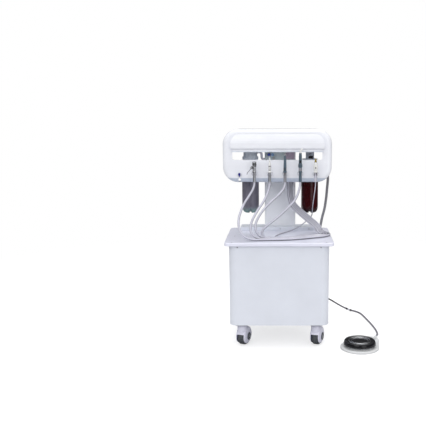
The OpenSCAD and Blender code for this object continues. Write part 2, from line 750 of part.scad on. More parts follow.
// The hose from the cap's port down to the valve block's side
module water_line() {
  start = [port_end + gap, bottle_y, port_z];
  finish = [column_offset - block_half - gap, block_front + 8, block_z + 8];
  color(hose_grey) hose([start, start + [4, 0, 0], start + [8, 0, 0], start + [16, 4, -7],
    finish + [-15, -3, 7], finish + [-8, 0, 0], finish + [-4, 0, 0], finish],
    line_radius, [0, 1, 0], 12);
}

// Cap of the waste bottle with its inlet elbow and riser
module waste_bottle_cap() {
  body = 18;
  riser = 4;
  color([0.62, 0.63, 0.66]) {
    difference() {
      translate([waste_x, bottle_y, 0]) union() {
        translate([0, 0, cap_z]) cylinder(d = cap_diameter, h = window_z - cap_z);
        translate([0, 0, cap_z]) cylinder(r = body, h = cap_height);
      }
      translate([waste_x, bottle_y, cap_z - 1])
        cylinder(r = neck_radius + gap, h = neck_insert + 2);
    }
    translate([waste_x - 5, bottle_y - body - 8, cap_z]) cube([17, 12, 9]);
    translate([waste_x + 7, bottle_y - body - 3, cap_z]) cylinder(r = riser, h = cap_height);
  }
}

shoulder_round = bottle_shoulder - 18;
bottle_floor = 14;

// A drinks-type bottle: five feet, a straight wall, a shoulder and a neck
module bottle_solid() {
  r = bottle_radius;
  h = bottle_height;
  feet = 5;
  difference() {
    turned(concat(
      [[0, 4], [r - 20, 0], [r - 12, 0.5], [r - 6, 5], [r - 2, 13], [r, 24], [r, h - bottle_shoulder]],
      [for (t = [0.2 : 0.2 : 1])
        [neck_radius + 2.5 + (r - neck_radius - 2.5) * cos(90 * t),
          h - bottle_shoulder + (shoulder_round + 2) * sin(90 * t)]],
      [[neck_radius, h - 14], [neck_radius, h - 4], [neck_radius + 3, h - 4], [neck_radius + 3, h - 1.5],
        [neck_radius, h - 1.5], [neck_radius, h + neck_insert], [0, h + neck_insert]]));
    for (i = [0 : feet - 1]) rotate([0, 0, 90 + 360 * i / feet])
      translate([0, 0, -6]) rotate([0, 62, 0]) translate([8, 0, 0]) cylinder(r = 8, h = 60);
  }
}

function bottle_inside(w, top) = let (r = bottle_radius - w, n = neck_radius - w, h = bottle_height)
  let (low = bottle_floor + w)
  concat([[0, low], [r - 18, low + 3], [r - 8, low + 10], [r - 1.5, low + 20], [r, low + 28]],
    top < h - bottle_shoulder ? [[r, top], [0, top]] : concat([[r, h - bottle_shoulder]],
      [for (t = [0.2 : 0.2 : 1])
        [n + (r - n) * cos(90 * t), h - bottle_shoulder + shoulder_round * sin(90 * t)]],
      [[n, top], [0, top]]));

module water_bottle() {
  color([0.42, 0.43, 0.48, 0.6]) translate([water_x, bottle_y, bottle_z]) difference() {
    bottle_solid();
    turned(bottle_inside(bottle_wall, bottle_height + neck_insert + 1));
  }
}

// The water in the bottle, clear of the wall and of the pickup tube
module water_fill() {
  color([0.50, 0.60, 0.62, 0.5]) translate([water_x, bottle_y, bottle_z]) difference() {
    turned(bottle_inside(bottle_wall + gap, bottle_floor + water_depth));
    translate([0, 0, pickup_rise - 4]) cylinder(r = tube_radius + 1, h = bottle_height);
  }
}

module waste_bottle() {
  color([0.20, 0.06, 0.08]) translate([waste_x, bottle_y, bottle_z]) difference() {
    bottle_solid();
    turned(bottle_inside(bottle_wall, bottle_height + neck_insert + 1));
  }
}

// ---- Instrument holders and the toggle ----

// Open clips under the window: each holds one instrument by its shoulder
module instrument_clips() {
  slot = 11.4;
  color(plastic_white) for (i = [1 : 5]) translate([holder_x(i), holder_y, clip_z]) difference() {
    union() {
      turned([[0, 0], [clip_bore + 3, 0], [clip_bore + 5.6, clip_height - 5],
        [clip_bore + 5.6, clip_height], [0, clip_height]]);
      translate([-5, 0, 1]) cube([10, holder_reach, clip_height - 5]);
    }
    translate([0, 0, -1]) cylinder(r = clip_bore, h = clip_height + 2);
    translate([-slot / 2, -20, -1]) cube([slot, 20, clip_height + 2]);
  }
}

pivot_y = head_front - 9;
toggle_z = clip_z + 1;
lever_pin = 1.2;

// Boss and two ears that carry the toggle's pin
module toggle_body() {
  ear = 1.8;
  ear_x = 3.6;
  color(plastic_white) translate([toggle_x, 0, toggle_z]) difference() {
    union() {
      translate([0, head_front, 0]) rotate([90, 0, 0]) cylinder(r = 7, h = 3);
      for (s = [-1, 1]) along_x(s * (ear_x + ear / 2) - ear / 2, s * (ear_x + ear / 2) + ear / 2) {
        translate([pivot_y, 0]) circle(3);
        translate([pivot_y, -3]) square([head_front - 2 - pivot_y, 6]);
      }
    }
    translate([0, pivot_y, 0]) rotate([0, 90, 0])
      cylinder(r = lever_pin + running, h = 20, center = true);
  }
}

// Blue drop-shaped lever on its pin
module toggle_lever() {
  drop = 5;
  rise = 4.5;
  point = 15;
  edge = drop * drop / point;
  color([0.13, 0.14, 0.45]) translate([toggle_x, 0, toggle_z]) {
    along_y(pivot_y - 9, pivot_y - 5) {
      translate([0, rise]) circle(drop);
      polygon([[-sqrt(drop * drop - edge * edge), rise - edge], [0, rise - point],
        [sqrt(drop * drop - edge * edge), rise - edge]]);
    }
    translate([-2, pivot_y - 6, -2]) cube([4, 6, 4]);
    translate([0, pivot_y, 0]) rotate([0, 90, 0]) cylinder(r = 2.6, h = 6.6, center = true);
    translate([0, pivot_y, 0]) rotate([0, 90, 0]) cylinder(r = lever_pin, h = 10.6, center = true);
  }
}

// ---- Instruments ----

// The part of every instrument that its clip holds: sleeve and shoulder
seat_z = clip_top + gap;
function sleeve_points() = [
  [0, sleeve_z], [sleeve_radius - 1, sleeve_z], [sleeve_radius, sleeve_z + 5],
  [sleeve_radius, clip_z - 4], [sleeve_radius - 0.8, clip_z - 2], [sleeve_radius, clip_z],
  [sleeve_radius, seat_z], [clip_bore + 1.4, seat_z], [clip_bore + 1.4, seat_z + 3]];

nozzle_way = unit([-0.62, -0.45, -0.64]);
nozzle_centre = [syringe_x, holder_y, clip_z + 45];
nozzle_seat = 15;
button_radius = 2.6;
button_x = 4;

// Three-way syringe: a metal handle with a head, two buttons and a nozzle
module syringe_body() {
  color(chrome) difference() {
    union() {
      translate([syringe_x, holder_y, 0]) turned(concat(sleeve_points(), [
        [7.6, seat_z + 9], [7.2, clip_z + 34], [9.4, clip_z + 41], [9.6, clip_z + 55],
        [8, clip_z + 59], [4, clip_z + 61], [0, clip_z + 61.5]]));
      translate(nozzle_centre) point_along(nozzle_way) cylinder(r = 5.4, h = nozzle_seat);
    }
    for (z = [42, 52]) translate([syringe_x + button_x, holder_y - 14, clip_z + z])
      rotate([-90, 0, 0]) cylinder(r = button_radius + gap, h = 11);
    translate(nozzle_centre + nozzle_seat * nozzle_way) point_along(-nozzle_way)
      translate([0, 0, -1]) cylinder(r = 3 + running, h = 7);
  }
}

// The nozzle's nut, and its thin tube with a bent end
module syringe_nozzle() {
  start = nozzle_centre + (nozzle_seat + gap) * nozzle_way;
  bend = start + 30 * nozzle_way;
  color([0.55, 0.56, 0.60]) {
    translate(nozzle_centre + (nozzle_seat - 5) * nozzle_way) point_along(nozzle_way)
      cylinder(r = 3, h = 6);
    translate(start) point_along(nozzle_way)
      turned([[0, 0], [5, 0], [5.6, 1], [5.6, 4.5], [4.4, 6.5], [2.2, 9], [0, 9]]);
    rod(start, bend, 1.6);
    translate(bend) sphere(r = 1.8);
    rod(bend, bend + 10 * unit(nozzle_way + [0.25, 0, -0.3]), 1.6);
  }
}

module syringe_button(z) {
  color(dark) translate([syringe_x + button_x, holder_y - 11.5, clip_z + z]) rotate([-90, 0, 0])
    turned([[0, 0], [button_radius - 0.8, 0], [button_radius, 1], [button_radius, 6.5], [0, 6.5]]);
}

// Low-speed motor with its slim nose
module air_motor() {
  color(plastic_white) translate([motor_x, holder_y, 0]) turned(concat(sleeve_points(), [
    [6.2, seat_z + 5], [6.2, clip_z + 22], [5.2, clip_z + 23], [5.2, clip_z + 26], [6, clip_z + 27],
    [6, clip_z + 38], [5, clip_z + 39], [5, clip_z + 42], [5.6, clip_z + 43], [5, clip_z + 52],
    [3.4, clip_z + 60], [2.6, clip_z + 76], [1.4, clip_z + 79], [0, clip_z + 79]]));
}

// Tapered dark handle of the scaler
module scaler_handle() {
  color([0.30, 0.35, 0.38]) translate([scaler_x, holder_y, 0]) turned(concat(sleeve_points(), [
    [6.4, seat_z + 8], [6.6, clip_z + 40], [5.8, clip_z + 68], [4.2, clip_z + 84],
    [3.4, clip_z + 89], [0, clip_z + 89]]));
}

// Hooked metal tip of the scaler
module scaler_tip() {
  base = [scaler_x, holder_y, clip_z + 89];
  path = [base, base + [0, 0, 5], base + [1, 0, 9], base + [4, -1, 11], base + [6.5, -2.5, 8.5]];
  color(chrome) {
    translate(base) turned([[0, 0], [3, 0], [3, 2], [1.6, 4], [0, 4]]);
    for (i = [0 : len(path) - 2]) rod(path[i], path[i + 1], 1.3 - 0.18 * i);
    for (i = [1 : len(path) - 1]) translate(path[i]) sphere(r = 1.4 - 0.18 * (i - 1));
  }
}

slide_z = clip_z + 56;
slide_travel = 12;
rail_y = holder_y - 8.5;

// Suction handle: a light grip, a dark ring and a dark valve section with a
// flat rail for its slide
module suction_handle() {
  color([0.36, 0.44, 0.47]) translate([suction_x, holder_y, 0]) {
    turned(concat(sleeve_points(), [
      [7.4, seat_z + 5], [7.4, clip_z + 34], [9, clip_z + 38], [9, clip_z + 48],
      [6.8, clip_z + 53], [6.6, clip_z + 84], [5.6, clip_z + 97], [0, clip_z + 97]]));
    translate([-3.2, rail_y - holder_y, slide_z - 4]) cube([6.4, 6, slide_travel + 18]);
  }
}

// Thumb slide that opens the suction valve
module suction_slide() {
  color(dark) translate([suction_x, rail_y - gap - 3, slide_z]) difference() {
    translate([-4, 0, 0]) cube([8, 3, 10]);
    for (z = [2 : 2.5 : 8]) translate([-5, -0.4, z]) cube([10, 0.9, 1]);
  }
}

// White bent tube on the suction handle, open at its end
module suction_tip() {
  base = [suction_x, holder_y, clip_z + 97];
  bend = base + [0, 0, 7];
  far = base + [8, 0, 20];
  color(plastic_white) difference() {
    union() {
      rod(base, bend, 4);
      translate(bend) sphere(r = 4);
      rod(bend, far, 4);
    }
    translate(far) point_along(bend - far) translate([0, 0, -1]) cylinder(r = 2.8, h = 10);
  }
}

cure_button_z = clip_z + 34;

// White pear-shaped body of the curing light
module curing_body() {
  color(plastic_white) difference() {
    translate([curing_x, holder_y, 0]) turned(concat(sleeve_points(), [
      [7, seat_z + 6], [9.2, clip_z + 28], [9.6, clip_z + 38], [8.8, clip_z + 50],
      [6.6, clip_z + 57], [0, clip_z + 57]]));
    translate([curing_x, holder_y - 14, cure_button_z]) rotate([-90, 0, 0])
      cylinder(r = button_radius + gap, h = 9.5);
  }
}

// Amber light guide on top of the curing light
module curing_guide() {
  color([0.52, 0.47, 0.16]) translate([curing_x, holder_y, clip_z + 57])
    turned([[0, 0], [5.4, 0], [5.4, 3], [4, 6], [3.4, 12], [2, 15], [0, 16]]);
}

module curing_button() {
  color(dark) translate([curing_x, holder_y - 11.2, cure_button_z]) rotate([-90, 0, 0])
    turned([[0, 0], [button_radius - 0.8, 0], [button_radius, 1], [button_radius, 4.6], [0, 4.6]]);
}

// ---- Rear fittings and the pieces inside the cabinet ----

rocker_x = inlet_x + 15;
rocker_y = cover_y - 1;
rocker_pin = 1.2;

// Mains inlet: a flange, a socket with three blades and the switch opening
module power_inlet() {
  socket = [24, 17];
  color(dark) {
    difference() {
      union() {
        along_y(cover_y, cover_y + 3) translate([inlet_x, inlet_z])
          round_rect(inlet_w + 10, inlet_h + 8, 4);
        translate([inlet_x - inlet_w / 2, cover_y - 22, inlet_z - inlet_h / 2])
          cube([inlet_w, 22 + little, inlet_h]);
      }
      translate([inlet_x - 22, cover_y - 16, inlet_z - socket[1] / 2])
        cube([socket[0], 30, socket[1]]);
      translate([rocker_x - 6.5, cover_y - 12, inlet_z - 10]) cube([13, 30, 20]);
      translate([rocker_x, rocker_y, inlet_z]) rotate([0, 90, 0])
        cylinder(r = rocker_pin + running, h = 17, center = true);
    }
    for (p = [[-6, 3], [0, -3], [6, 3]])
      translate([inlet_x - 10 + p[0] - 1, cover_y - 16.5, inlet_z + p[1] - 2]) cube([2, 13, 4]);
  }
}

// Rocker of the mains switch on its two pins
module rocker_switch() {
  half = 6.5 - gap;
  color([0.55, 0.08, 0.08]) translate([rocker_x, rocker_y, inlet_z]) {
    along_x(-half, half) polygon([
      [-6, -5], [3.4, -8.8], [5.6, -8.4], [4.6, 0], [6.2, 8.4], [4, 8.8], [-6, 5]]);
    rotate([0, 90, 0]) cylinder(r = rocker_pin, h = 16, center = true);
  }
}

// Hose fittings on the rear cover: a straight one and an elbow
module rear_fittings() {
  elbow_z = umbilical_end[2] - 22;
  color(chrome) {
    translate([foot_fitting[0], cover_y, foot_fitting[2]]) rotate([-90, 0, 0]) {
      cylinder(r = 9, h = 8, $fn = 6);
      cylinder(r = 5, h = foot_fitting[1] - cover_y - gap);
    }
    translate([umbilical_end[0], cover_y, elbow_z]) rotate([-90, 0, 0]) {
      cylinder(r = 10, h = 8, $fn = 6);
      cylinder(r = 6.5, h = umbilical_end[1] - cover_y);
    }
    translate([umbilical_end[0], umbilical_end[1], elbow_z]) {
      sphere(r = 7.5);
      cylinder(r = 6, h = 22 - gap);
    }
  }
}

function tank_profile(r, half) = [
  [0, -half - 0.37 * r], [r * 0.5, -half - 0.28 * r], [r * 0.85, -half - 0.13 * r], [r, -half],
  [r, half], [r * 0.85, half + 0.13 * r], [r * 0.5, half + 0.28 * r], [0, half + 0.37 * r]];

// Air receiver lying across the cabinet's front on two saddles
module air_tank() {
  wall = 2.5;
  r = 60;
  half = 130;
  z = cabinet_z + sheet + 14 + r;
  color([0.80, 0.82, 0.85]) translate([0, -100, 0]) {
    translate([0, 0, z]) rotate([0, 90, 0]) difference() {
      turned(tank_profile(r, half));
      turned(tank_profile(r - wall, half));
    }
    for (s = [-1, 1]) difference() {
      translate([s * 90 - 10, -36, cabinet_z + sheet]) cube([20, 72, 34]);
      translate([s * 90 - 11, 0, z]) rotate([0, 90, 0]) cylinder(r = r - wall / 2, h = 22);
    }
  }
}

motor_y = 62;
motor_rise = 64;
motor_z = cabinet_z + sheet + motor_rise;
compressor_inset = 140;
compressor_x = compressor_inset - cabinet_width / 2;
crank_offset = 90;
crank_drop = 44;
pump_inset = 82;

// Compressor motor with its two crankcases on rubber feet
module compressor_motor() {
  body_radius = 50;
  body_length = 120;
  shaft_housing = 30;
  color([0.35, 0.36, 0.38]) {
    translate([compressor_x, motor_y, motor_z]) rotate([0, 90, 0]) {
      cylinder(r = body_radius, h = body_length, center = true);
      cylinder(r = shaft_housing, h = 2 * crank_offset, center = true);
    }
    for (s = [-1, 1]) {
      translate([compressor_x + s * crank_offset - 12, motor_y - 32, motor_z - crank_drop]) cube([24, 64, 84]);
      for (t = [-1, 1]) translate([compressor_x + s * crank_offset, motor_y + t * 22, cabinet_z + sheet])
        cylinder(r = 9, h = motor_rise - crank_drop);
    }
  }
}

// Finned cylinder heads, one on each crankcase
module compressor_heads() {
  fins = 6;
  pitch = 7;
  color(chrome) for (s = [-1, 1])
    translate([compressor_x + s * crank_offset, motor_y, motor_z + 40]) {
      cylinder(r = 20, h = fins * pitch + 10);
      for (i = [0 : fins - 1]) translate([0, 0, 3 + i * pitch]) cylinder(r = 28, h = 2.5);
      translate([-24, -24, fins * pitch + 4]) cube([48, 48, 12]);
    }
}

// Vacuum pump for the suction line
module vacuum_pump() {
  x = cabinet_width / 2 - pump_inset;
  color([0.35, 0.36, 0.38]) translate([x, motor_y, cabinet_z + sheet]) {
    translate([-40, -50, 0]) cube([80, 100, 10]);
    translate([0, 48, 62]) rotate([90, 0, 0]) cylinder(r = 36, h = 96);
    translate([-22, -30, 8]) cube([44, 60, 26]);
    translate([0, 0, 90]) cylinder(r = 18, h = 34);
  }
}

// ---- Foot control ----

foot_centre = [342, -192];
tail_centre = [395, -105];
boss_radius = disc_radius - 9;
boss_top = disc_top - 6 - disc_travel - 2;
post_radius = 8;
gland_face = foot_route[len(foot_route) - 1];

// Outline of the base: a large circle, a small one and their outer tangents
module foot_outline(inset) {
  reach = tail_centre - foot_centre;
  way = atan2(reach[1], reach[0]);
  lean = acos((foot_radius - foot_tail_radius) / norm(reach));
  translate(foot_centre) circle(foot_radius - inset);
  translate(tail_centre) circle(foot_tail_radius - inset);
  polygon([for (p = [
      [foot_centre, foot_radius, lean], [tail_centre, foot_tail_radius, lean],
      [tail_centre, foot_tail_radius, -lean], [foot_centre, foot_radius, -lean]])
    p[0] + (p[1] - inset) * [cos(way + p[2]), sin(way + p[2])]]);
}

module foot_base() {
  bevel = 2.5;
  color([0.90, 0.91, 0.92]) difference() {
    union() {
      hull() {
        linear_extrude(foot_base_height - bevel) foot_outline(0);
        linear_extrude(foot_base_height) foot_outline(bevel);
      }
      translate([foot_centre[0], foot_centre[1], 0]) cylinder(r = boss_radius, h = boss_top);
      translate(gland_face) point_along([-7, -17, 0]) translate([0, 0, gap])
        cylinder(r = 5.6, h = 26);
      translate([gland_face[0] - 9, gland_face[1] - 21, 0]) rotate([0, 0, -22])
        translate([-7, -4, 0]) cube([14, 20, gland_face[2]]);
    }
    translate([foot_centre[0], foot_centre[1], 4]) cylinder(r = post_radius + running, h = boss_top);
  }
}

// The round pedal: a raised rim round a groove and an inner plate, with a
// skirt that covers the boss, and guided by a post
module foot_disc() {
  skirt_z = foot_base_height + disc_travel + 1;
  roof_z = disc_top - 6;
  rim = disc_radius - 14;
  plate = disc_radius - 26;
  color([0.20, 0.20, 0.21]) translate([foot_centre[0], foot_centre[1], 0]) {
    turned([[0, roof_z], [boss_radius + 1.5, roof_z], [boss_radius + 1.5, skirt_z],
      [disc_radius - 0.6, skirt_z], [disc_radius, skirt_z + 1], [disc_radius, disc_top - 5],
      [disc_radius - 1.6, disc_top - 2.2], [disc_radius - 5, disc_top - 0.5],
      [disc_radius - 9, disc_top], [rim, disc_top - 0.8], [rim - 6, disc_top - 3.2],
      [plate + 2, disc_top - 3.4], [plate, disc_top - 1.6], [plate - 4, disc_top - 1.2],
      [plate - 16, disc_top - 2], [0, disc_top - 2.4]]);
    translate([0, 0, boss_top - 11]) cylinder(r = post_radius, h = roof_z - boss_top + 12);
  }
}

// ---- Hoses ----

module syringe_hose() { color(hose_grey) hose(syringe_route, hose_radius, [1, 0, 0]); }
module motor_hose() { color(hose_grey) hose(motor_route, hose_radius, [1, 0, 0]); }
module scaler_hose() { color(hose_grey) hose(scaler_route, hose_radius, [1, 0, 0]); }
module suction_hose() { color(hose_grey) hose(suction_route, hose_radius, [1, 0, 0]); }
module curing_cable() { color(hose_grey) hose(curing_route, cable_radius, [1, 0, 0]); }
module umbilical_hose() {
  color([0.50, 0.50, 0.53]) hose(umbilical_route, umbilical_radius, [1, 0, 0]);
}
module foot_hose() { color([0.60, 0.60, 0.60]) hose(foot_route, foot_hose_radius, [1, 0, 0]); }

base_pan();
cabinet_shell();
rear_cover();
tray_top();
plinth();
column();
panel_screws();
caster_plates();
head_fascia();
head_upper_panel();
head_bracket();
head_rear_cover();
control_block();
instrument_clips();
toggle_body();
water_bottle_cap();
water_line();
waste_bottle_cap();
power_inlet();
rear_fittings();
air_tank();
compressor_motor();
compressor_heads();
vacuum_pump();
foot_base();
syringe_hose();
motor_hose();
scaler_hose();
suction_hose();
curing_cable();
umbilical_hose();
foot_hose();
toggle_lever();
flow_knob();
water_bottle();
water_fill();
waste_bottle();
rocker_switch();
foot_disc();
syringe_body();
syringe_nozzle();
syringe_button(52);  // syringe_air_button
syringe_button(42);  // syringe_water_button
air_motor();
scaler_handle();
scaler_tip();
suction_handle();
suction_tip();
suction_slide();
curing_body();
curing_guide();
curing_button();
caster_hood(-1, -1);  // caster_hood_fl
caster_hood(1, -1);  // caster_hood_fr
caster_hood(-1, 1);  // caster_hood_rl
caster_hood(1, 1);  // caster_hood_rr
caster_wheel(-1, -1);  // caster_wheel_fl
caster_wheel(1, -1);  // caster_wheel_fr
caster_wheel(-1, 1);  // caster_wheel_rl
caster_wheel(1, 1);  // caster_wheel_rr
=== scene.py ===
"""The looks of a portable dental unit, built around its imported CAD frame.

The axes are the frame's own: +Z up, the user on the -Y side, +X to the user's right. Blender
counts in metres. Profiles that are turned, and places given through at(), are in millimetres.
Each material and each group of pieces has its own function, and main() calls them in order.
"""

import json
import math

import bmesh
import bpy
from mathutils import Matrix, Vector


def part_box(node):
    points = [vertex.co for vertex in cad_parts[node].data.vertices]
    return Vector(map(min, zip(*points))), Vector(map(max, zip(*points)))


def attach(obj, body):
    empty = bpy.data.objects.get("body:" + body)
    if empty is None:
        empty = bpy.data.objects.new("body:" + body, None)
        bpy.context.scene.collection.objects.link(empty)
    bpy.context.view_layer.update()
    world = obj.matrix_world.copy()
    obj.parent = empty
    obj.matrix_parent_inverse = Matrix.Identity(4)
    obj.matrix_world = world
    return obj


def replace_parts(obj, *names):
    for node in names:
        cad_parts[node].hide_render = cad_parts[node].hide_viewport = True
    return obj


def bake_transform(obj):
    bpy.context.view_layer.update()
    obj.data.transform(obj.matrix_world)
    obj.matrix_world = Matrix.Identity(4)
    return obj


MM = 0.001

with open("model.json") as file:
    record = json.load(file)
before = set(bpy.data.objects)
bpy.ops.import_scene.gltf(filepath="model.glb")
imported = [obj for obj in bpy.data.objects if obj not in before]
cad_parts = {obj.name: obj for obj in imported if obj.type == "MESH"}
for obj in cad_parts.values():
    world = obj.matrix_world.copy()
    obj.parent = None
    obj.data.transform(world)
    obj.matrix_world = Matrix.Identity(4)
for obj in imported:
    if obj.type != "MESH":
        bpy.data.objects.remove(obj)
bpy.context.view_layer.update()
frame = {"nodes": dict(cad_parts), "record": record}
NODES = frame["nodes"]


# ---------------------------------------------------------------- node trees


def tint(colour, factor):
    """The colour made lighter or darker by a factor, as RGBA."""
    return tuple(min(1.0, c * factor) for c in colour[:3]) + (1.0,)


class Tree:
    """A material's node tree, with short calls for the nodes that the materials share."""

    def __init__(self, name):
        self.material = bpy.data.materials.new(name)
        self.material.use_nodes = True
        self.nodes = self.material.node_tree.nodes
        self.links = self.material.node_tree.links
        self.shader = self.nodes["Principled BSDF"]
        self.place = self.nodes.new("ShaderNodeTexCoord").outputs["Object"]

    def feed(self, socket, value):
        """Links another node's output to a socket, or gives the socket its own value."""
        if isinstance(value, bpy.types.NodeSocket):
            self.links.new(value, socket)
        else:
            socket.default_value = value

    def add(self, kind, **sockets):
        """A new node, with its sockets fed by their names."""
        node = self.nodes.new("ShaderNode" + kind)
        for name, value in sockets.items():
            self.feed(node.inputs[name.replace("_", " ")], value)
        return node

    def set(self, **sockets):
        """Feeds the sockets of the material's shader by their names."""
        for name, value in sockets.items():
            self.feed(self.shader.inputs[name.replace("_", " ")], value)

    def scatter(self, weight, reach):
        """Lets light go reach metres into the material."""
        self.set(Subsurface_Weight=weight, Subsurface_Radius=(reach,) * 3, Subsurface_Scale=1.0)

    def height(self):
        return self.add("SeparateXYZ", Vector=self.place).outputs["Z"]

    def stretched(self, x, y, z):
        """Object coordinates scaled by each axis, for grain that runs one way."""
        return self.add("Mapping", Vector=self.place, Scale=(x, y, z)).outputs["Vector"]

    def noise(self, size, detail=3.0, vector=None, roughness=0.55):
        """Noise whose blotches are about size metres across."""
        return self.add("TexNoise", Vector=vector or self.place, Scale=1 / size, Detail=detail,
                        Roughness=roughness).outputs["Fac"]

    def spots(self, size):
        return self.add("TexVoronoi", Vector=self.place, Scale=1 / size).outputs["Distance"]

    def span(self, value, to_low, to_high, from_low=0.3, from_high=0.7):
        """Maps a texture's usual spread to the spread that is wanted."""
        node = self.add("MapRange", Value=value, From_Min=from_low, From_Max=from_high,
                        To_Min=to_low, To_Max=to_high)
        return node.outputs["Result"]

    def mix(self, factor, first, second):
        node = self.nodes.new("ShaderNodeMix")
        node.data_type = "RGBA"
        ends = {"Factor_Float": factor, "A_Color": first, "B_Color": second}
        for socket in node.inputs:
            if socket.identifier in ends:
                self.feed(socket, ends[socket.identifier])
        return next(s for s in node.outputs if s.identifier == "Result_Color")

    def mottled(self, texture, colour, dark, light):
        """The colour times dark where the texture is low, and times light where it is high."""
        return self.mix(self.span(texture, 0, 1), tint(colour, dark), tint(colour, light))

    def product(self, first, second):
        node = self.nodes.new("ShaderNodeMath")
        node.operation = "MULTIPLY"
        self.feed(node.inputs[0], first)
        self.feed(node.inputs[1], second)
        return node.outputs["Value"]

    def soft_edges(self, radius):
        """A normal that rounds every sharp edge by radius metres."""
        node = self.add("Bevel", Radius=radius)
        node.samples = 4
        return node.outputs["Normal"]

    def crease(self, reach):
        """1 on open surface, falling where another surface lies within reach metres."""
        node = self.add("AmbientOcclusion", Distance=reach)
        node.samples = 8
        return node.outputs["AO"]

    def bump(self, height, depth, normal=None):
        node = self.add("Bump", Distance=depth, Height=height)
        if normal is not None:
            self.feed(node.inputs["Normal"], normal)
        return node.outputs["Normal"]


# ---------------------------------------------------------------- materials

LIP_SHADE = (0.54, 0.60, 0.71, 1)
TYRE_DUST = (0.16, 0.16, 0.165, 1)
# The way that painted light comes from: a hose is painted darker on sides that face away from it
PAINTED_LIGHT_WAY = (-0.42, -0.30, 0.85)
# The heights between which a bottle's base turns into its wall
BOTTLE_BASE = (0.546, 0.568)
# The heights over which the painted crease shade and the lip's shade fade out
CREASE_SHADE_FADE = 6 * MM
LIP_FADE = 4 * MM


def painted(name, colour):
    """Powder coat: an even colour with faint clouds, and the orange peel of baked paint."""
    t = Tree(name)
    t.set(Base_Color=t.mottled(t.noise(0.12, detail=4), colour, 0.965, 1.02),
          Roughness=t.span(t.noise(0.02), 0.31, 0.42), Coat_Weight=0.25, Coat_Roughness=0.18,
          Normal=t.bump(t.noise(1.6 * MM, detail=2), 0.04 * MM, t.soft_edges(0.7 * MM)))
    return t.material


def moulded(name, colour, roughness=0.24, depth=0.012 * MM, subsurface=0.0, dust_and_shade=None,
            creased_below=1.0, lip_below=None):
    """Injection moulding: slight flow clouds, a fine grain and softly rounded edges.

    Painted shade darkens the creases below one height, and a lip is shaded below another.
    """
    t = Tree(name)
    flow = t.noise(0.06, detail=2, vector=t.stretched(1, 1, 2.2))
    shade = t.mottled(flow, colour, 0.97, 1.015)
    # Painted shade: a darker colour where another surface lies near, below a height
    if dust_and_shade:
        crease_shade = t.product(t.span(t.crease(14 * MM), 1, 0, 0.35, 0.93),
                            t.span(t.height(), 1, 0, creased_below, creased_below + CREASE_SHADE_FADE))
        shade = t.mix(crease_shade, shade, (*dust_and_shade, 1))
    if lip_below:
        lip = t.span(t.height(), 1, 0, lip_below - LIP_FADE, lip_below)
        shade = t.mix(lip, shade, LIP_SHADE)
    scuffs = t.noise(0.012, detail=6, roughness=0.7)
    t.set(Base_Color=shade, Coat_Weight=0.35, Coat_Roughness=0.12,
          Roughness=t.span(scuffs, roughness - 0.04, roughness + 0.10, 0.35, 0.75),
          Normal=t.bump(t.noise(0.9 * MM, detail=2), depth, t.soft_edges(1.0 * MM)))
    if subsurface:
        t.scatter(subsurface, 4 * MM)
    return t.material


def grained(name, colour):
    """Dark or grey plastic with the pebbled grain of an etched tool."""
    t = Tree(name)
    wear = t.noise(0.015, detail=5, roughness=0.65)
    t.set(Base_Color=t.mottled(wear, colour, 0.85, 1.18), Roughness=t.span(wear, 0.47, 0.65),
          Normal=t.bump(t.spots(0.7 * MM), 0.05 * MM, t.soft_edges(0.6 * MM)))
    return t.material


def plated(name, colour):
    """Bright plating with faint handling marks."""
    t = Tree(name)
    marks = t.noise(0.006, detail=6, roughness=0.7)
    t.set(Base_Color=t.mottled(marks, colour, 0.88, 1.03), Metallic=1.0,
          Roughness=t.span(marks, 0.084, 0.228),
          Normal=t.bump(t.noise(1.2 * MM, detail=2), 0.006 * MM, t.soft_edges(0.4 * MM)))
    return t.material


def brushed(name, colour, roughness=0.34):
    """Sheet metal with fine parallel scratches."""
    t = Tree(name)
    lines = t.noise(0.012, detail=5, vector=t.stretched(1, 40, 40), roughness=0.7)
    t.set(Base_Color=t.mottled(lines, colour, 0.86, 1.08), Metallic=1.0,
          Roughness=t.span(lines, roughness - 0.1, roughness + 0.14),
          Normal=t.bump(lines, 0.012 * MM, t.soft_edges(0.5 * MM)))
    return t.material


def cast(name, colour):
    """Painted casting: a coarse skin that is darker in its hollows."""
    t = Tree(name)
    skin = t.noise(2.2 * MM, detail=5, roughness=0.7)
    t.set(Base_Color=t.mottled(skin, colour, 0.75, 1.25), Roughness=0.62, Metallic=0.25,
          Normal=t.bump(skin, 0.25 * MM, t.soft_edges(0.8 * MM)))
    return t.material


def tubing(name, colour, milky, roughness=0.30, low_colour=None, floor_colour=None):
    """Soft extruded tubing: cloudy, with painted shade underneath and where it lies against
    something.

    A hose that comes down may have another colour near the floor and one more on it.
    """
    t = Tree(name)
    specks = t.noise(1.4 * MM, detail=4, roughness=0.7)
    shade = t.mottled(t.noise(0.03, detail=3), colour, 0.93, 1.04)
    if low_colour:
        height = t.height()
        lower = t.mix(t.span(height, 0, 1, 0.02, 0.09), tint(floor_colour, 1), tint(low_colour, 1))
        shade = t.mix(t.span(height, 0, 1, 0.2, 0.4), lower, shade)
    shade = t.mix(t.span(specks, 0, 0.35), shade, tint(colour, 0.86))
    # Painted shade: darker on the sides that face away from the light, and darker still in creases
    # where it lies against something
    lit_side = t.add("VectorMath", Vector=t.add("NewGeometry").outputs["Normal"])
    lit_side.operation = "DOT_PRODUCT"
    lit_side.inputs[1].default_value = PAINTED_LIGHT_WAY
    shade = t.mix(t.span(lit_side.outputs["Value"], 0, 1, -0.6, 0.3), tint(colour, 0.45), shade)
    shade = t.mix(t.span(t.crease(8 * MM), 0, 1, 0.45, 0.85), tint(colour, 0.2), shade)
    t.set(Base_Color=shade, Roughness=t.span(specks, roughness - 0.05, roughness + 0.12),
          Coat_Weight=0.5, Coat_Roughness=0.12, Normal=t.bump(t.noise(3 * MM, detail=3), 0.03 * MM))
    t.scatter(milky, 3 * MM)
    return t.material


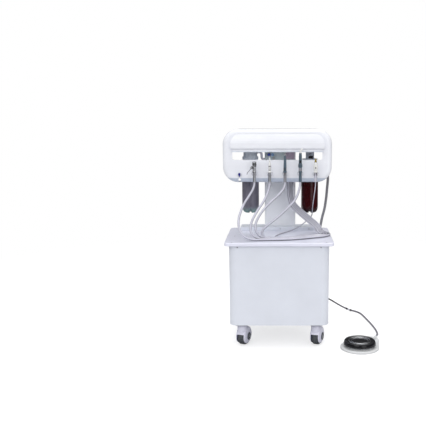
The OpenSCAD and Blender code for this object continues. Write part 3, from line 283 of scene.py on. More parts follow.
def blown(name, colour, clearness, base):
    """Blow-moulded bottle wall: uneven thickness, a haze that scatters light, and another colour at
    its base.
    """
    t = Tree(name)
    wall = t.noise(0.02, detail=3, vector=t.stretched(1, 1, 0.5))
    shade = t.mottled(wall, colour, 0.80, 1.15)
    t.set(Base_Color=t.mix(t.span(t.height(), 0, 1, *BOTTLE_BASE), base, shade),
          Transmission_Weight=clearness, Roughness=t.span(wall, 0.08, 0.14), IOR=1.35,
          Normal=t.bump(t.noise(9 * MM, detail=2), 0.35 * MM))
    return t.material


def liquid(name, colour, clearness):
    t = Tree(name)
    drift = t.noise(0.05, detail=4)
    t.set(Base_Color=t.mottled(drift, colour, 0.9, 1.1), Transmission_Weight=clearness,
          Roughness=t.span(drift, 0.02, 0.10), IOR=1.33)
    return t.material


def tread(name, colour):
    """Polyurethane tyre: fine grain, with dust where it rolls."""
    t = Tree(name)
    dust_and_shade = t.noise(0.007, detail=6, roughness=0.72)
    t.set(Base_Color=t.mix(t.span(dust_and_shade, 0, 1, 0.4, 0.8), tint(colour, 0.9), TYRE_DUST),
          Roughness=t.span(dust_and_shade, 0.45, 0.72),
          Normal=t.bump(t.noise(0.6 * MM, detail=3), 0.05 * MM, t.soft_edges(0.8 * MM)))
    return t.material


def polished_dark(name, colour):
    """The pedal's dark lacquer, with the fine rings that turning leaves."""
    t = Tree(name)
    lowest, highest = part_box("foot_disc")
    centre = (lowest + highest) / 2
    moved = t.add("Mapping", Vector=t.place, Location=(-centre.x, -centre.y, 0)).outputs["Vector"]
    turned = t.add("TexWave", Vector=moved, Scale=260, Distortion=0.4)
    turned.wave_type = "RINGS"
    turned.rings_direction = "Z"
    marks = t.noise(0.01, detail=6, roughness=0.7)
    t.set(Base_Color=t.mottled(marks, colour, 0.7, 1.5), Roughness=t.span(marks, 0.05, 0.14),
          IOR=1.42,
          Normal=t.bump(turned.outputs["Fac"], 0.015 * MM, t.soft_edges(0.8 * MM)))
    return t.material


# One material for each slot of the record
MATERIALS = {
    "white_enamel": painted("white_enamel", (0.755, 0.785, 0.865)),
    "column_enamel": painted("column_enamel", (0.89, 0.91, 0.96)),
    "tray_plastic": moulded("tray_plastic", (0.82, 0.83, 0.955), roughness=0.34),
    # The head's crease colour and its lip colour are painted shade
    "head_plastic": moulded("head_plastic", (0.90, 0.915, 0.975), roughness=0.22,
                            dust_and_shade=(0.46, 0.49, 0.57), creased_below=0.816, lip_below=0.706),
    "zinc_steel": brushed("zinc_steel", (0.62, 0.63, 0.66)),
    "grey_plastic": grained("grey_plastic", (0.72, 0.77, 0.85)),
    "clear_hose": tubing("clear_hose", (0.58, 0.58, 0.67), milky=0.06, roughness=0.16),
    "grey_hose": tubing("grey_hose", (0.28, 0.28, 0.31), milky=0.0, low_colour=(0.085, 0.08, 0.07),
                        floor_colour=(0.17, 0.155, 0.20)),
    "black_plastic": grained("black_plastic", (0.012, 0.012, 0.015)),
    "plated_brass": plated("plated_brass", (0.62, 0.63, 0.66)),
    "tank_enamel": painted("tank_enamel", (0.62, 0.65, 0.70)),
    "cast_body": cast("cast_body", (0.70, 0.57, 0.70)),
    "bare_aluminium": brushed("bare_aluminium", (0.66, 0.67, 0.69), roughness=0.45),
    "pedal_base": moulded("pedal_base", (0.72, 0.73, 0.74), roughness=0.38, subsurface=0.1),
    "pedal_disc": polished_dark("pedal_disc", (0.006, 0.006, 0.008)),
    "blue_plastic": moulded("blue_plastic", (0.025, 0.03, 0.24), roughness=0.2),
    "clear_bottle": blown("clear_bottle", (0.28, 0.27, 0.335), 0.5, (0.22, 0.36, 0.35, 1)),
    "water": liquid("water", (0.16, 0.15, 0.20), 0.45),
    "waste_bottle": blown("waste_bottle", (0.042, 0.002, 0.004), 0.15, (0.006, 0.001, 0.002, 1)),
    "red_plastic": moulded("red_plastic", (0.28, 0.012, 0.012), roughness=0.2),
    "white_handpiece": moulded("white_handpiece", (0.80, 0.80, 0.79), roughness=0.2,
                               subsurface=0.15),
    "slate_handpiece": moulded("slate_handpiece", (0.075, 0.115, 0.155), roughness=0.36,
                               depth=0.02 * MM),
    "amber_guide": moulded("amber_guide", (0.26, 0.19, 0.025), roughness=0.12, subsurface=0.3),
    # The hood's crease colour is painted shade
    "caster_hood": moulded("caster_hood", (0.68, 0.68, 0.80), roughness=0.28,
                           dust_and_shade=(0.10, 0.11, 0.20)),
    "wheel_tyre": tread("wheel_tyre", (0.035, 0.045, 0.06)),
}

# Pieces and nodes whose look differs within their slot
LOOKS = {
    "control_block": grained("valve_casting", (0.78, 0.92, 0.98)),
    "water_line": moulded("line_plastic", (0.93, 0.90, 1.0)),
    "flow_knob": moulded("knob_plastic", (0.08, 0.13, 0.62), roughness=0.2),
    "pressure_fitting": moulded("fitting_plastic", (0.40, 0.62, 0.95), roughness=0.2),
    # The clips are greyer than the head and darker in their creases: both painted shade
    "instrument_clips": moulded("clip_plastic", (0.64, 0.65, 0.71), dust_and_shade=(0.30, 0.32, 0.38)),
}


def dress(mesh, name, slot):
    """Gives a mesh the look of its name, or else that of its slot, as its only material."""
    mesh.materials.clear()
    mesh.materials.append(LOOKS.get(name, MATERIALS[slot]))


def dress_frame():
    """Every CAD node gets the material of its own slot."""
    for part in frame["record"]["subparts"]:
        dress(NODES[part["node"]].data, part["node"], part["material_slot"])


# ---------------------------------------------------------------- mesh helpers

SMOOTH_BELOW = math.radians(40)


def at(x, y, z):
    """A place or a size given in millimetres."""
    return Vector((x, y, z)) * MM


def around(steps):
    """The angles of steps even parts of a full turn."""
    return [2 * math.pi * k / steps for k in range(steps)]


def ramp(value, start, stop):
    """0 up to start, 1 from stop on, and the share of the way between them."""
    return min(1.0, max(0.0, (value - start) / (stop - start)))


def facing(axis):
    """The rotation that turns +Z towards axis."""
    return Vector(axis).to_track_quat("Z", "Y").to_matrix().to_4x4()


def mesh_of(name, build):
    """A mesh that build(bm) fills, smooth but for its sharp edges."""
    bm = bmesh.new()
    build(bm)
    bmesh.ops.remove_doubles(bm, verts=bm.verts, dist=1e-6)
    bmesh.ops.recalc_face_normals(bm, faces=bm.faces)
    for face in bm.faces:
        face.smooth = True
    for edge in bm.edges:
        if len(edge.link_faces) == 2 and edge.calc_face_angle(0) > SMOOTH_BELOW:
            edge.smooth = False
    mesh = bpy.data.meshes.new(name)
    bm.to_mesh(mesh)
    bm.free()
    return mesh


def piece(name, build, slot, body="root"):
    """What build(bm) makes, as a named piece that rides on a body, if it has one."""
    obj = bpy.data.objects.new(name, mesh_of(name, build))
    bpy.context.scene.collection.objects.link(obj)
    dress(obj.data, name, slot)
    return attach(obj, body) if body else obj


def bridge(bm, loops):
    """Faces from each loop of points to the next. A loop of one point gives a fan."""
    for first, second in zip(loops, loops[1:]):
        for k in range(max(len(first), len(second))):
            corners = [first[k % len(first)], first[(k + 1) % len(first)],
                       second[(k + 1) % len(second)], second[k % len(second)]]
            unique = list(dict.fromkeys(corners))
            if len(unique) > 2:
                bm.faces.new(unique)


def lathe(bm, profile, origin, axis=(0, 0, 1), steps=48):
    """Turns a profile of (radius, height) points, in millimetres, round an axis at origin."""
    turn = Matrix.Translation(origin) @ facing(axis)
    bridge(bm, [[bm.verts.new(turn @ at(radius * math.cos(angle), radius * math.sin(angle), height))
                 for angle in (around(steps) if radius else [0])] for radius, height in profile])


def turned_piece(name, profiles, origin, slot, body="root", axis=(0, 0, 1), steps=48):
    """One piece from one or more profiles on one axis."""
    def build(bm):
        for profile in profiles:
            lathe(bm, profile, origin, axis, steps)
    return piece(name, build, slot, body)


def band(radius, bottom, top, rise):
    """The closed profile of a collar that stands out from radius by rise, in millimetres."""
    inner, outer, bevel = radius - rise, radius + rise, 0.3
    return [(inner, bottom), (outer - bevel, bottom), (outer, bottom + bevel),
            (outer, top - bevel), (outer - bevel, top), (inner, top), (inner, bottom)]


def smooth_path(points, steps):
    """A Catmull-Rom line through the points, as the CAD model's hoses follow it."""
    points = [Vector(p) for p in points]
    ends = [2 * points[0] - points[1], *points, 2 * points[-1] - points[-2]]
    line = []
    for a, b, c, d in zip(ends, ends[1:], ends[2:], ends[3:]):
        for k in range(steps):
            t = k / steps
            line.append(0.5 * (2 * b + (c - a) * t + (2 * a - 5 * b + 4 * c - d) * t * t
                               + (3 * b - a - 3 * c + d) * t * t * t))
    return [*line, points[-1]]


def at_length(line, length):
    """The point and the direction at a length along a line."""
    for a, b in zip(line, line[1:]):
        step = (b - a).length
        if length <= step:
            return a.lerp(b, length / step), (b - a).normalized()
        length -= step
    return line[-1], (line[-1] - line[-2]).normalized()


def sweep(bm, line, radius):
    """A closed tube along a line, in metres."""
    side = Vector((1, 0, 0))
    loops = []
    last = len(line) - 1
    for i, point in enumerate(line):
        along = (line[min(i + 1, last)] - line[max(i - 1, 0)]).normalized()
        side = (side - side.dot(along) * along).normalized()
        other = along.cross(side)
        loops.append([bm.verts.new(point + radius * (
            math.cos(angle) * side + math.sin(angle) * other)) for angle in around(16)])
    bridge(bm, loops)
    bm.faces.new(loops[0][::-1])
    bm.faces.new(loops[-1])


def block(bm, lowest, highest, bevel):
    """A box with small bevels, in metres."""
    centre = Matrix.Translation((lowest + highest) / 2)
    size = Matrix.Diagonal((*(highest - lowest), 1))
    made = bmesh.ops.create_cube(bm, size=1, matrix=centre @ size)
    edges = list({edge for vert in made["verts"] for edge in vert.link_edges})
    bmesh.ops.bevel(bm, geom=edges, offset=bevel, segments=2, affect="EDGES", profile=0.5)


# ---------------------------------------------------------------- camera and light

FOCAL_PIXELS = 645.2
FRAME_PIXELS = 426
OPTICAL_CENTRE = (280.0, 235.9)
CAMERA_PLACE = (3.5 * MM, -2810.8 * MM, 944.8 * MM)
CAMERA_DOWN = 10.0
LAMP_AIM = (0, 0, 0.5)
FLOOR_GREY = (0.5, 0.5, 0.505, 1)
FLOOR_GLOW = 0.62
FLOOR_RADIUS, FADE_START, FADE_STOP = 3.0, 0.9, 2.6


def make_camera():
    data = bpy.data.cameras.new("camera")
    data.sensor_width = 36
    data.lens = FOCAL_PIXELS / FRAME_PIXELS * data.sensor_width
    data.shift_x = (FRAME_PIXELS / 2 - OPTICAL_CENTRE[0]) / FRAME_PIXELS
    data.shift_y = (OPTICAL_CENTRE[1] - FRAME_PIXELS / 2) / FRAME_PIXELS
    camera = bpy.data.objects.new("camera", data)
    camera.location = CAMERA_PLACE
    camera.rotation_euler = (math.radians(90 - CAMERA_DOWN), 0, 0)
    bpy.context.scene.collection.objects.link(camera)
    bpy.context.scene.camera = camera


def lamp(name, place, power, size):
    """A square lamp that faces the middle of the unit."""
    data = bpy.data.lights.new(name, "AREA")
    data.shape = "SQUARE"
    data.size = size
    data.energy = power
    light = bpy.data.objects.new(name, data)
    light.location = place
    way = Vector(LAMP_AIM) - Vector(place)
    light.rotation_euler = way.to_track_quat("-Z", "Y").to_euler()
    bpy.context.scene.collection.objects.link(light)


def make_light():
    """A bright even studio: a pale world, a large key above the camera, and three more lamps."""
    lamp("key", (-1.2, -2.8, 2.0), 17, 2.0)
    lamp("fill", (1.6, -2.9, 0.9), 13, 1.8)
    lamp("top", (0.2, 0.2, 2.9), 9, 1.8)
    lamp("back", (0.7, 2.3, 2.5), 11, 1.2)
    world = bpy.data.worlds.new("studio")
    world.use_nodes = True
    bpy.context.scene.world = world
    nodes, links = world.node_tree.nodes, world.node_tree.links
    ray = nodes.new("ShaderNodeLightPath")
    seen = nodes.new("ShaderNodeMath")
    seen.operation = "MAXIMUM"
    links.new(ray.outputs["Is Camera Ray"], seen.inputs[0])
    links.new(ray.outputs["Is Transmission Ray"], seen.inputs[1])
    way = nodes.new("ShaderNodeSeparateXYZ")
    links.new(nodes.new("ShaderNodeTexCoord").outputs["Generated"], way.inputs["Vector"])

    def room(dark_height, bright_height, dark, bright):
        """A room that is darker underfoot than overhead."""
        shade = nodes.new("ShaderNodeMapRange")
        shade.interpolation_type = "SMOOTHSTEP"
        for name, value in (("From Min", dark_height), ("From Max", bright_height),
                            ("To Min", dark), ("To Max", bright)):
            shade.inputs[name].default_value = value
        links.new(way.outputs["Z"], shade.inputs["Value"])
        return shade.outputs["Result"]

    unseen = nodes.new("ShaderNodeMapRange")
    links.new(room(-0.5, 0.7, 0.35, 1.08), unseen.inputs["To Min"])
    links.new(room(0.35, 0.9, 0.10, 0.95), unseen.inputs["To Max"])
    links.new(ray.outputs["Is Glossy Ray"], unseen.inputs["Value"])
    strength = nodes.new("ShaderNodeMapRange")
    strength.inputs["To Max"].default_value = 1.0
    links.new(unseen.outputs["Result"], strength.inputs["To Min"])
    links.new(seen.outputs["Value"], strength.inputs["Value"])
    background = nodes["Background"]
    background.inputs["Color"].default_value = (1, 1, 1, 1)
    links.new(strength.outputs["Result"], background.inputs["Strength"])


def make_floor():
    """A pale floor that keeps the soft shadow and fades into the white backdrop."""
    mesh = mesh_of("floor", lambda bm: bmesh.ops.create_circle(
        bm, cap_ends=True, segments=96, radius=FLOOR_RADIUS,
        matrix=Matrix.Translation(at(0, 0, -0.5))))
    floor = bpy.data.objects.new("floor", mesh)
    bpy.context.scene.collection.objects.link(floor)
    material = bpy.data.materials.new("floor")
    material.use_nodes = True
    nodes, links = material.node_tree.nodes, material.node_tree.links
    nodes.remove(nodes["Principled BSDF"])
    matt = nodes.new("ShaderNodeBsdfDiffuse")
    matt.inputs["Color"].default_value = FLOOR_GREY
    glow = nodes.new("ShaderNodeEmission")
    ray = nodes.new("ShaderNodeLightPath")
    lift = nodes.new("ShaderNodeMath")
    lift.operation = "MULTIPLY"
    lift.inputs[1].default_value = FLOOR_GLOW
    links.new(ray.outputs["Is Camera Ray"], lift.inputs[0])
    links.new(lift.outputs["Value"], glow.inputs["Strength"])
    both = nodes.new("ShaderNodeAddShader")
    links.new(matt.outputs["BSDF"], both.inputs[0])
    links.new(glow.outputs["Emission"], both.inputs[1])
    place = nodes.new("ShaderNodeTexCoord")
    length = nodes.new("ShaderNodeVectorMath")
    length.operation = "LENGTH"
    links.new(place.outputs["Object"], length.inputs[0])
    fade = nodes.new("ShaderNodeMapRange")
    fade.inputs["From Min"].default_value = FADE_START
    fade.inputs["From Max"].default_value = FADE_STOP
    links.new(length.outputs["Value"], fade.inputs["Value"])
    clear = nodes.new("ShaderNodeBsdfTransparent")
    blend = nodes.new("ShaderNodeMixShader")
    links.new(fade.outputs["Result"], blend.inputs["Fac"])
    links.new(both.outputs["Shader"], blend.inputs[1])
    links.new(clear.outputs["BSDF"], blend.inputs[2])
    links.new(blend.outputs["Shader"], nodes["Material Output"].inputs["Surface"])
    mesh.materials.append(material)


# ---------------------------------------------------------------- hoses

# Each route repeats the CAD model's points, in millimetres, from the exit to the far end
ROUTES = {
    "syringe_hose": [
        (-107, -22, 690), (-107.8, -23.4, 677), (-114.5, -33, 656.5), (-129, -53, 633),
        (-147, -77, 606), (-160, -101, 579), (-169, -127, 548), (-169, -147, 518),
        (-159, -160, 491), (-138, -161, 471), (-108, -156, 461), (-72, -151, 459.5),
        (-17, -147, 459.5), (40, -138, 459.5), (92, -119, 459.5), (138, -95, 459.5),
        (172, -78, 459.5), (199.5, -59.5, 459.5), (216, -34, 459.5), (220, -4, 459.5),
        (211, 26, 460), (193, 48, 469), (174, 60, 494), (133, 71, 528), (97, 81, 558),
        (71, 91, 584), (59, 100, 614), (57, 103, 650), (64, 102, 690), (64, 102, 701),
        (64, 102, 712)],
    "motor_hose": [
        (-41, -22, 690), (-41.5, -22.5, 677), (-47, -31, 654), (-57, -49, 629), (-72, -74, 603),
        (-93, -99, 574), (-111, -122, 543), (-120, -136, 513), (-116, -144, 486),
        (-97, -144, 468), (-65, -139, 460), (-17, -135, 459.5), (36, -126, 459.5),
        (86, -107, 459.5), (131, -82, 459.5), (163, -68, 459.5), (191, -51, 459.5),
        (204.5, -30, 459.5), (208, -5, 459.5), (200, 19, 460), (185.5, 39, 468), (170, 50, 490),
        (129, 61, 524), (93, 71, 554), (66, 81, 581), (54, 90, 612), (51, 93, 650), (56, 93, 690),
        (56, 93, 701), (56, 93, 712)],
    "scaler_hose": [
        (25, -22, 690), (24.5, -22.5, 677), (16, -30, 657), (-2, -44, 637), (-29, -63, 614),
        (-58, -86, 588), (-82, -107, 558), (-97, -121, 529), (-100, -129, 504), (-92, -130, 483),
        (-74, -127, 467), (-42, -123, 460), (0, -120, 459.5), (40, -111, 459.5), (83, -93, 459.5),
        (124, -69, 459.5), (155, -58, 459.5), (183, -43, 459.5), (193.5, -26, 459.5),
        (196, -6, 459.5), (190, 13, 460), (178.5, 31, 467), (166, 40, 486), (125, 51, 520),
        (89, 61, 550), (61, 71, 578), (49, 80, 610), (45, 83, 650), (48, 84, 690), (48, 84, 701),
        (48, 84, 712)],
    "suction_hose": [
        (91, -22, 690), (90.5, -22.5, 677), (86, -28, 656), (77, -39, 631), (61, -54, 606),
        (37, -69, 584), (8, -83, 558), (-21, -95, 534.5), (-42, -101.5, 519), (-56, -105.3, 507),
        (-65, -108, 500), (-72.5, -109.7, 486), (-71, -110.7, 472.5), (-63, -111, 463.2),
        (-53, -110.6, 459.6), (-37, -109.7, 459.5), (-18, -107.8, 459.5), (8, -105.3, 459.5),
        (40, -98, 459.5), (82, -79, 459.5), (117, -57, 459.5), (148, -48, 459.5),
        (174, -34, 459.5), (183, -20, 459.5), (184, -4, 459.5), (180, 8.3, 460.7),
        (171, 19, 466.5), (159.5, 30, 484), (121, 41, 516), (85, 51, 546), (56, 61, 575),
        (43, 70, 608), (39, 74, 650), (40, 75, 690), (40, 75, 701), (40, 75, 712)],
    "curing_cable": [
        (157, -22, 690), (157, -22, 674), (154, -14, 642), (150, 12, 600), (148, 43, 562),
        (147, 67, 534), (139, 92, 516), (116, 110, 492), (86, 108, 471), (55, 90, 459),
        (28, 56, 456.5), (4, 12, 456.5), (-12, -32, 456.5), (-17, -62, 456.5), (-8, -84, 456.5),
        (16, -91, 456.5), (44, -81, 456.5), (80, -62, 456.5), (111, -45, 456.5),
        (142, -40, 456.5), (168, -27, 456.5), (174, -16, 456.5), (171.5, -2, 458),
        (161, 11, 463.5), (155, 20, 481), (118, 33, 512.5), (82, 43, 542.5), (51, 53, 573),
        (38, 63, 607), (34, 67, 650), (34, 68.5, 690), (34, 68.5, 701), (34, 68.5, 712)],
    "umbilical_hose": [
        (212, 150, 826), (212, 150, 800), (212, 150, 775), (214, 151, 752), (220, 154, 727),
        (224, 162, 690), (222, 175, 645), (219, 189, 596), (213, 203, 545), (204, 213, 505),
        (197, 219, 467), (193, 221.6, 440), (192, 222, 425), (192, 222, 415), (192, 222, 405)],
    "foot_hose": [
        (150, 214, 130), (150, 226, 130), (150, 239, 130), (156, 263, 125.5), (180, 284, 110),
        (222, 298, 89), (254, 308, 72), (290, 322, 47), (326, 338, 23), (358, 344, 8),
        (385, 331, 4.2), (403, 300, 4.2), (413, 260, 4.2), (422, 205, 4.2), (431, 150, 4.2),
        (438, 95, 4.2), (443, 45, 4.2), (444, 0, 4.3), (441, -34, 7.5), (437, -54, 12.5),
        (432, -70, 14.5), (428.5, -78.5, 14.5), (425, -87, 14.5)],
}
LINES = {name: [p * MM for p in smooth_path(route, 6)] for name, route in ROUTES.items()}
# Diameter and length in metres, the body of its instrument, and its slot
HOSES = {
    "syringe_hose": (10.0 * MM, 1.079, "syringe", "clear_hose"),
    "motor_hose": (10.0 * MM, 1.004, "motor", "clear_hose"),
    "scaler_hose": (10.0 * MM, 0.970, "scaler", "clear_hose"),
    "suction_hose": (10.0 * MM, 0.936, "suction", "clear_hose"),
    "curing_cable": (4.5 * MM, 1.071, "curing_light", "clear_hose"),
    "umbilical_hose": (12.0 * MM, 0.433, None, "grey_hose"),
    "foot_hose": (8.0 * MM, 0.762, None, "grey_hose"),
}


def make_hoses():
    """Every hose along its route, as a swept tube that replaces its CAD node."""
    for name, (diameter, length, body, slot) in HOSES.items():
        line = LINES[name]
        tube = piece(name + "_tube", lambda bm: sweep(bm, line, diameter / 2), slot,
                     None if body else "root")
        if body:
            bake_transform(tube)
        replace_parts(tube, name)
        make_coupling(line) if name == "foot_hose" else ()


def make_coupling(line):
    """The foot hose's inline coupling: a pale sleeve between two dark nuts."""
    sleeve = smooth_path([at_length(line, s * MM)[0] for s in (282, 287, 292, 297, 303)], 3)
    parts = [piece("hose_coupling", lambda bm: sweep(bm, sleeve, 4.5 * MM), "clear_hose")]
    for k, s in enumerate((279, 300)):
        place, way = at_length(line, s * MM)
        parts.append(turned_piece(
            "hose_nut_%d" % k, [[(0, 0), (4.9, 0), (5.5, 0.8), (5.5, 6.2), (4.9, 7), (0, 7)]],
            place, "black_plastic", axis=way, steps=12))
    return parts


def make_hose_ends():
    """Ribs on each instrument's hose where it leaves the handpiece, and a clamp on its barb."""
    pitch, width = 2.2, 1.3
    for name, (diameter, _, body, _) in HOSES.items():
        if body:
            radius = diameter / 2 / MM
            turned_piece(name + "_relief", [band(radius + 0.15, k * pitch, k * pitch + width, 0.7)
                                            for k in range(4)],
                         LINES[name][0] + at(0, 0, 1.2), "grey_plastic", body)
            turned_piece(name + "_clamp", [band(radius + 0.1, 0, 5, 0.8)],
                         LINES[name][-1] - at(0, 0, 9), "plated_brass")


# ---------------------------------------------------------------- fittings on the root body

# In millimetres: the row of instruments, the level of their clips, and the valve block's face
HOLDER_X = {"syringe": -107, "motor": -41, "scaler": 25, "suction": 91, "curing_light": 157}
HOLDER_Y = -22
CLIP_Z = 717
BLOCK_FACE = 118
WATER_CAP = at(-130, 110, 0)
WASTE_CAP = at(138, 110, 0)


def screw_places():
    """The middle of each dome-headed screw and the way it faces, as the CAD model sets them."""
    for x, y in ((-197, -189), (197, -189), (-197, 160), (197, 160), (-194, -35)):
        yield at(x, y, 454), (0, 0, 1)
    for x in (-173.2, 173.2):
        yield at(x, -190, 434), (0, -1, 0)
    for x in (-128, 4, 136):
        yield at(x, 113, 462), (0, -1, 0)
    for x in (-194, 194):
        for z in (118, 269, 420):
            yield at(x, 192, z), (0, 1, 0)


def make_screw_slots():
    """A cross recess in each dome-headed screw."""
    slot_level, slot_angle = 1.62, 0.5

    def build(bm):
        for place, way in screw_places():
            turn = Matrix.Translation(place) @ facing(way) @ Matrix.Rotation(slot_angle, 4, "Z")
            top = turn @ Matrix.Translation(at(0, 0, slot_level))
            for long, wide in ((3.0, 0.55), (0.55, 3.0)):
                size = Matrix.Diagonal((*at(long, wide, 0.5), 1))
                bmesh.ops.create_cube(bm, size=1, matrix=top @ size)
    piece("screw_slots", build, "black_plastic")


def make_rail_shadow_strip():
    """A dark strip along the lower edge of the rail over the window, put there as painted shadow
    under the rail.
    """
    lowest, highest = at(-205.5, 1.1, 816.8), at(189.5, 3.0, 820.4)
    piece("rail_shadow_strip", lambda bm: block(bm, lowest, highest, 0.4 * MM), "grey_plastic")


# A bottle's profiles, in millimetres
BOTTLE_TALL = 239.0
SHOULDER = BOTTLE_TALL - 52
MOUTH = BOTTLE_TALL + 13
NECK = 13.5
BORE = 12.3
NOTCHES, NOTCH_HEIGHT, NOTCH_DRAW, NOTCHES_END = 5, 12.5, 3.2, 32


def shoulder(neck, wide, tall):
    """The rounded way from a bottle's side up to its neck."""
    angles = [math.pi / 16 * k for k in range(1, 9)]
    return [(neck + wide * math.cos(a), SHOULDER + tall * math.sin(a)) for a in angles]


BOTTLE_OUTSIDE = [
    (0, 7), (7, 6), (13, 2.5), (18, 0), (23, 0), (27.5, 1), (31, 4), (34, 8.5), (36, 14),
    (37.3, 20), (38, 27), (38, 34), (38, 80), (38, 140), (38, SHOULDER), *shoulder(16, 22, 36),
    (NECK, BOTTLE_TALL - 14), (NECK, BOTTLE_TALL - 4), (NECK + 3, BOTTLE_TALL - 4),
    (NECK + 3, BOTTLE_TALL - 1.5), (NECK, BOTTLE_TALL - 1.5), (NECK, MOUTH)]
BOTTLE_INSIDE = [
    (0, 15.2), (18.8, 18.2), (28.8, 25.2), (35.3, 35.2), (36.8, 43.2), (36.8, SHOULDER),
    *shoulder(BORE, 24.5, 34), (BORE, MOUTH)]


def bottle_wall(bm, centre, profile, notched):
    """The loops of one side of a wall. Notches rise into a notched foot, one of them in front."""
    loops = []
    for r, z in profile:
        loop = []
        for angle in around(120) if r else [0]:
            share = 0.0
            if notched:
                wave = max(0.0, math.cos(NOTCHES * (angle + math.pi / 2))) ** 1.3
                share = wave * (1 - ramp(z, 0, NOTCHES_END)) * ramp(r, 9, 19)
            wide = r - NOTCH_DRAW * share
            loop.append(bm.verts.new(centre + at(
                wide * math.cos(angle), wide * math.sin(angle), z + NOTCH_HEIGHT * share)))
        loops.append(loop)
    return loops


def make_bottles():
    """Both bottles, with the deep notched feet of drinks bottles."""
    for node, cap, slot in (("water_bottle", WATER_CAP, "clear_bottle"),
                            ("waste_bottle", WASTE_CAP, "waste_bottle")):
        centre = cap + Vector((0, 0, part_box(node)[0].z))

        def build(bm):
            bridge(bm, [*bottle_wall(bm, centre, BOTTLE_OUTSIDE, True),
                        *bottle_wall(bm, centre, BOTTLE_INSIDE[::-1], False)])
        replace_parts(piece(node + "_moulding", build, slot, node), node)


def ribbed(bm, origin, radius, bottom, top, count, width, rise):
    """Small upright ribs round a cap, in millimetres."""
    size = Matrix.Diagonal((*at(2 * rise, width, top - bottom), 1))
    out = Matrix.Translation(at(radius, 0, (bottom + top) / 2))
    for angle in around(count):
        turn = Matrix.Translation(origin) @ Matrix.Rotation(angle, 4, "Z")
        bmesh.ops.create_cube(bm, size=1, matrix=turn @ out @ size)


def make_cap_details():
    """Grip ribs and collars on both bottle caps, and the waste cap's inlet hose on its elbow."""
    def grips(bm):
        ribbed(bm, WATER_CAP, 35, 781, 791.5, 48, width=1.6, rise=0.9)
        ribbed(bm, WATER_CAP, 30, 800, 832, 30, width=2.2, rise=0.6)
        ribbed(bm, WASTE_CAP, 18, 790, 834, 18, width=2.0, rise=0.6)
    piece("cap_grips", grips, "grey_plastic")
    turned_piece("water_cap_rings", [band(30, 796, 799, 1.4), band(30, 833, 836, 1.4)],
                 WATER_CAP, "grey_plastic")
    turned_piece("waste_cap_rings", [band(18, 786, 789, 1.2)], WASTE_CAP, "grey_plastic")
    turned_piece("port_nut", [[(0, -9), (7.4, -9), (8, -8.4), (8, -1.6), (7.4, -1), (0, -1)]],
                 at(-96, 110, 812), "plated_brass", axis=(1, 0, 0), steps=6)
    piece("waste_elbow", lambda bm: block(bm, at(131, 82.5, 784), at(150, 95, 796), 1.5 * MM),
          "black_plastic")
    arc = smooth_path([at(*p) for p in ((129, 84, 789), (129.5, 83, 797), (134, 82, 805),
                                        (142, 82.5, 810), (150, 84, 814), (155, 88, 822))], 8)
    piece("waste_inlet_hose", lambda bm: sweep(bm, arc, 2.6 * MM), "clear_hose")


def make_valve_details():
    """Faces of the solenoid valve, fittings and screws on the block, and the manifold's nuts."""
    def solenoid(bm):
        block(bm, at(29, 107.2, 780), at(69, 108.6, 824), 0.6 * MM)
        block(bm, at(34, 103.5, 800), at(48, 108, 816), 1.0 * MM)
    piece("solenoid_face", solenoid, "cast_body")
    way = (0, -1, 0)
    turned_piece("pressure_fitting", [[(6, 8), (6.9, 8.4), (6.9, 13), (6.2, 13.8), (4.4, 13.8),
                                       (4.2, 12.4), (0, 12.4)]],
                 at(-30, BLOCK_FACE, 801), "clear_hose", axis=way)
    turned_piece("water_fitting", [[(5, 6), (5.9, 6.4), (5.9, 13), (5, 13.8), (0, 13.8)]],
                 at(-25, BLOCK_FACE, 783), "white_handpiece", axis=way)
    turned_piece("knob_washer", [[(6.4, 0), (8.2, 0), (8.2, 0.25), (6.4, 0.25)]],
                 at(-46, BLOCK_FACE, 801), "plated_brass", axis=way)

    def screws(bm):
        for x, z in ((-58, 832), (-58, 778), (66, 832)):
            lathe(bm, [(0, 0.9), (2.0, 0.9), (2.6, 0.3), (2.6, -0.2)], at(x, BLOCK_FACE, z),
                  way, 24)
    piece("block_screws", screws, "plated_brass")
    for name, line in LINES.items():
        if HOSES[name][2]:
            r = 4.4 if name == "curing_cable" else 6.6
            nut = [(0, 0), (r, 0), (r + 0.6, 0.6), (r + 0.6, 6.4), (r, 7), (0, 7)]
            turned_piece(name + "_nut", [nut], line[-1] + at(0, 0, 4), "plated_brass", steps=6)


# ---------------------------------------------------------------- instruments

NOZZLE_WAY = Vector((-0.62, -0.45, -0.64)).normalized()
NOZZLE_ABOVE_CLIP = 45


def rings(name, holder, bands, slot):
    """Collars round an instrument: (radius, bottom, top, rise) in millimetres above the clip."""
    turned_piece(name, [band(r, CLIP_Z + a, CLIP_Z + b, rise) for r, a, b, rise in bands],
                 at(HOLDER_X[holder], HOLDER_Y, 0), slot, holder)


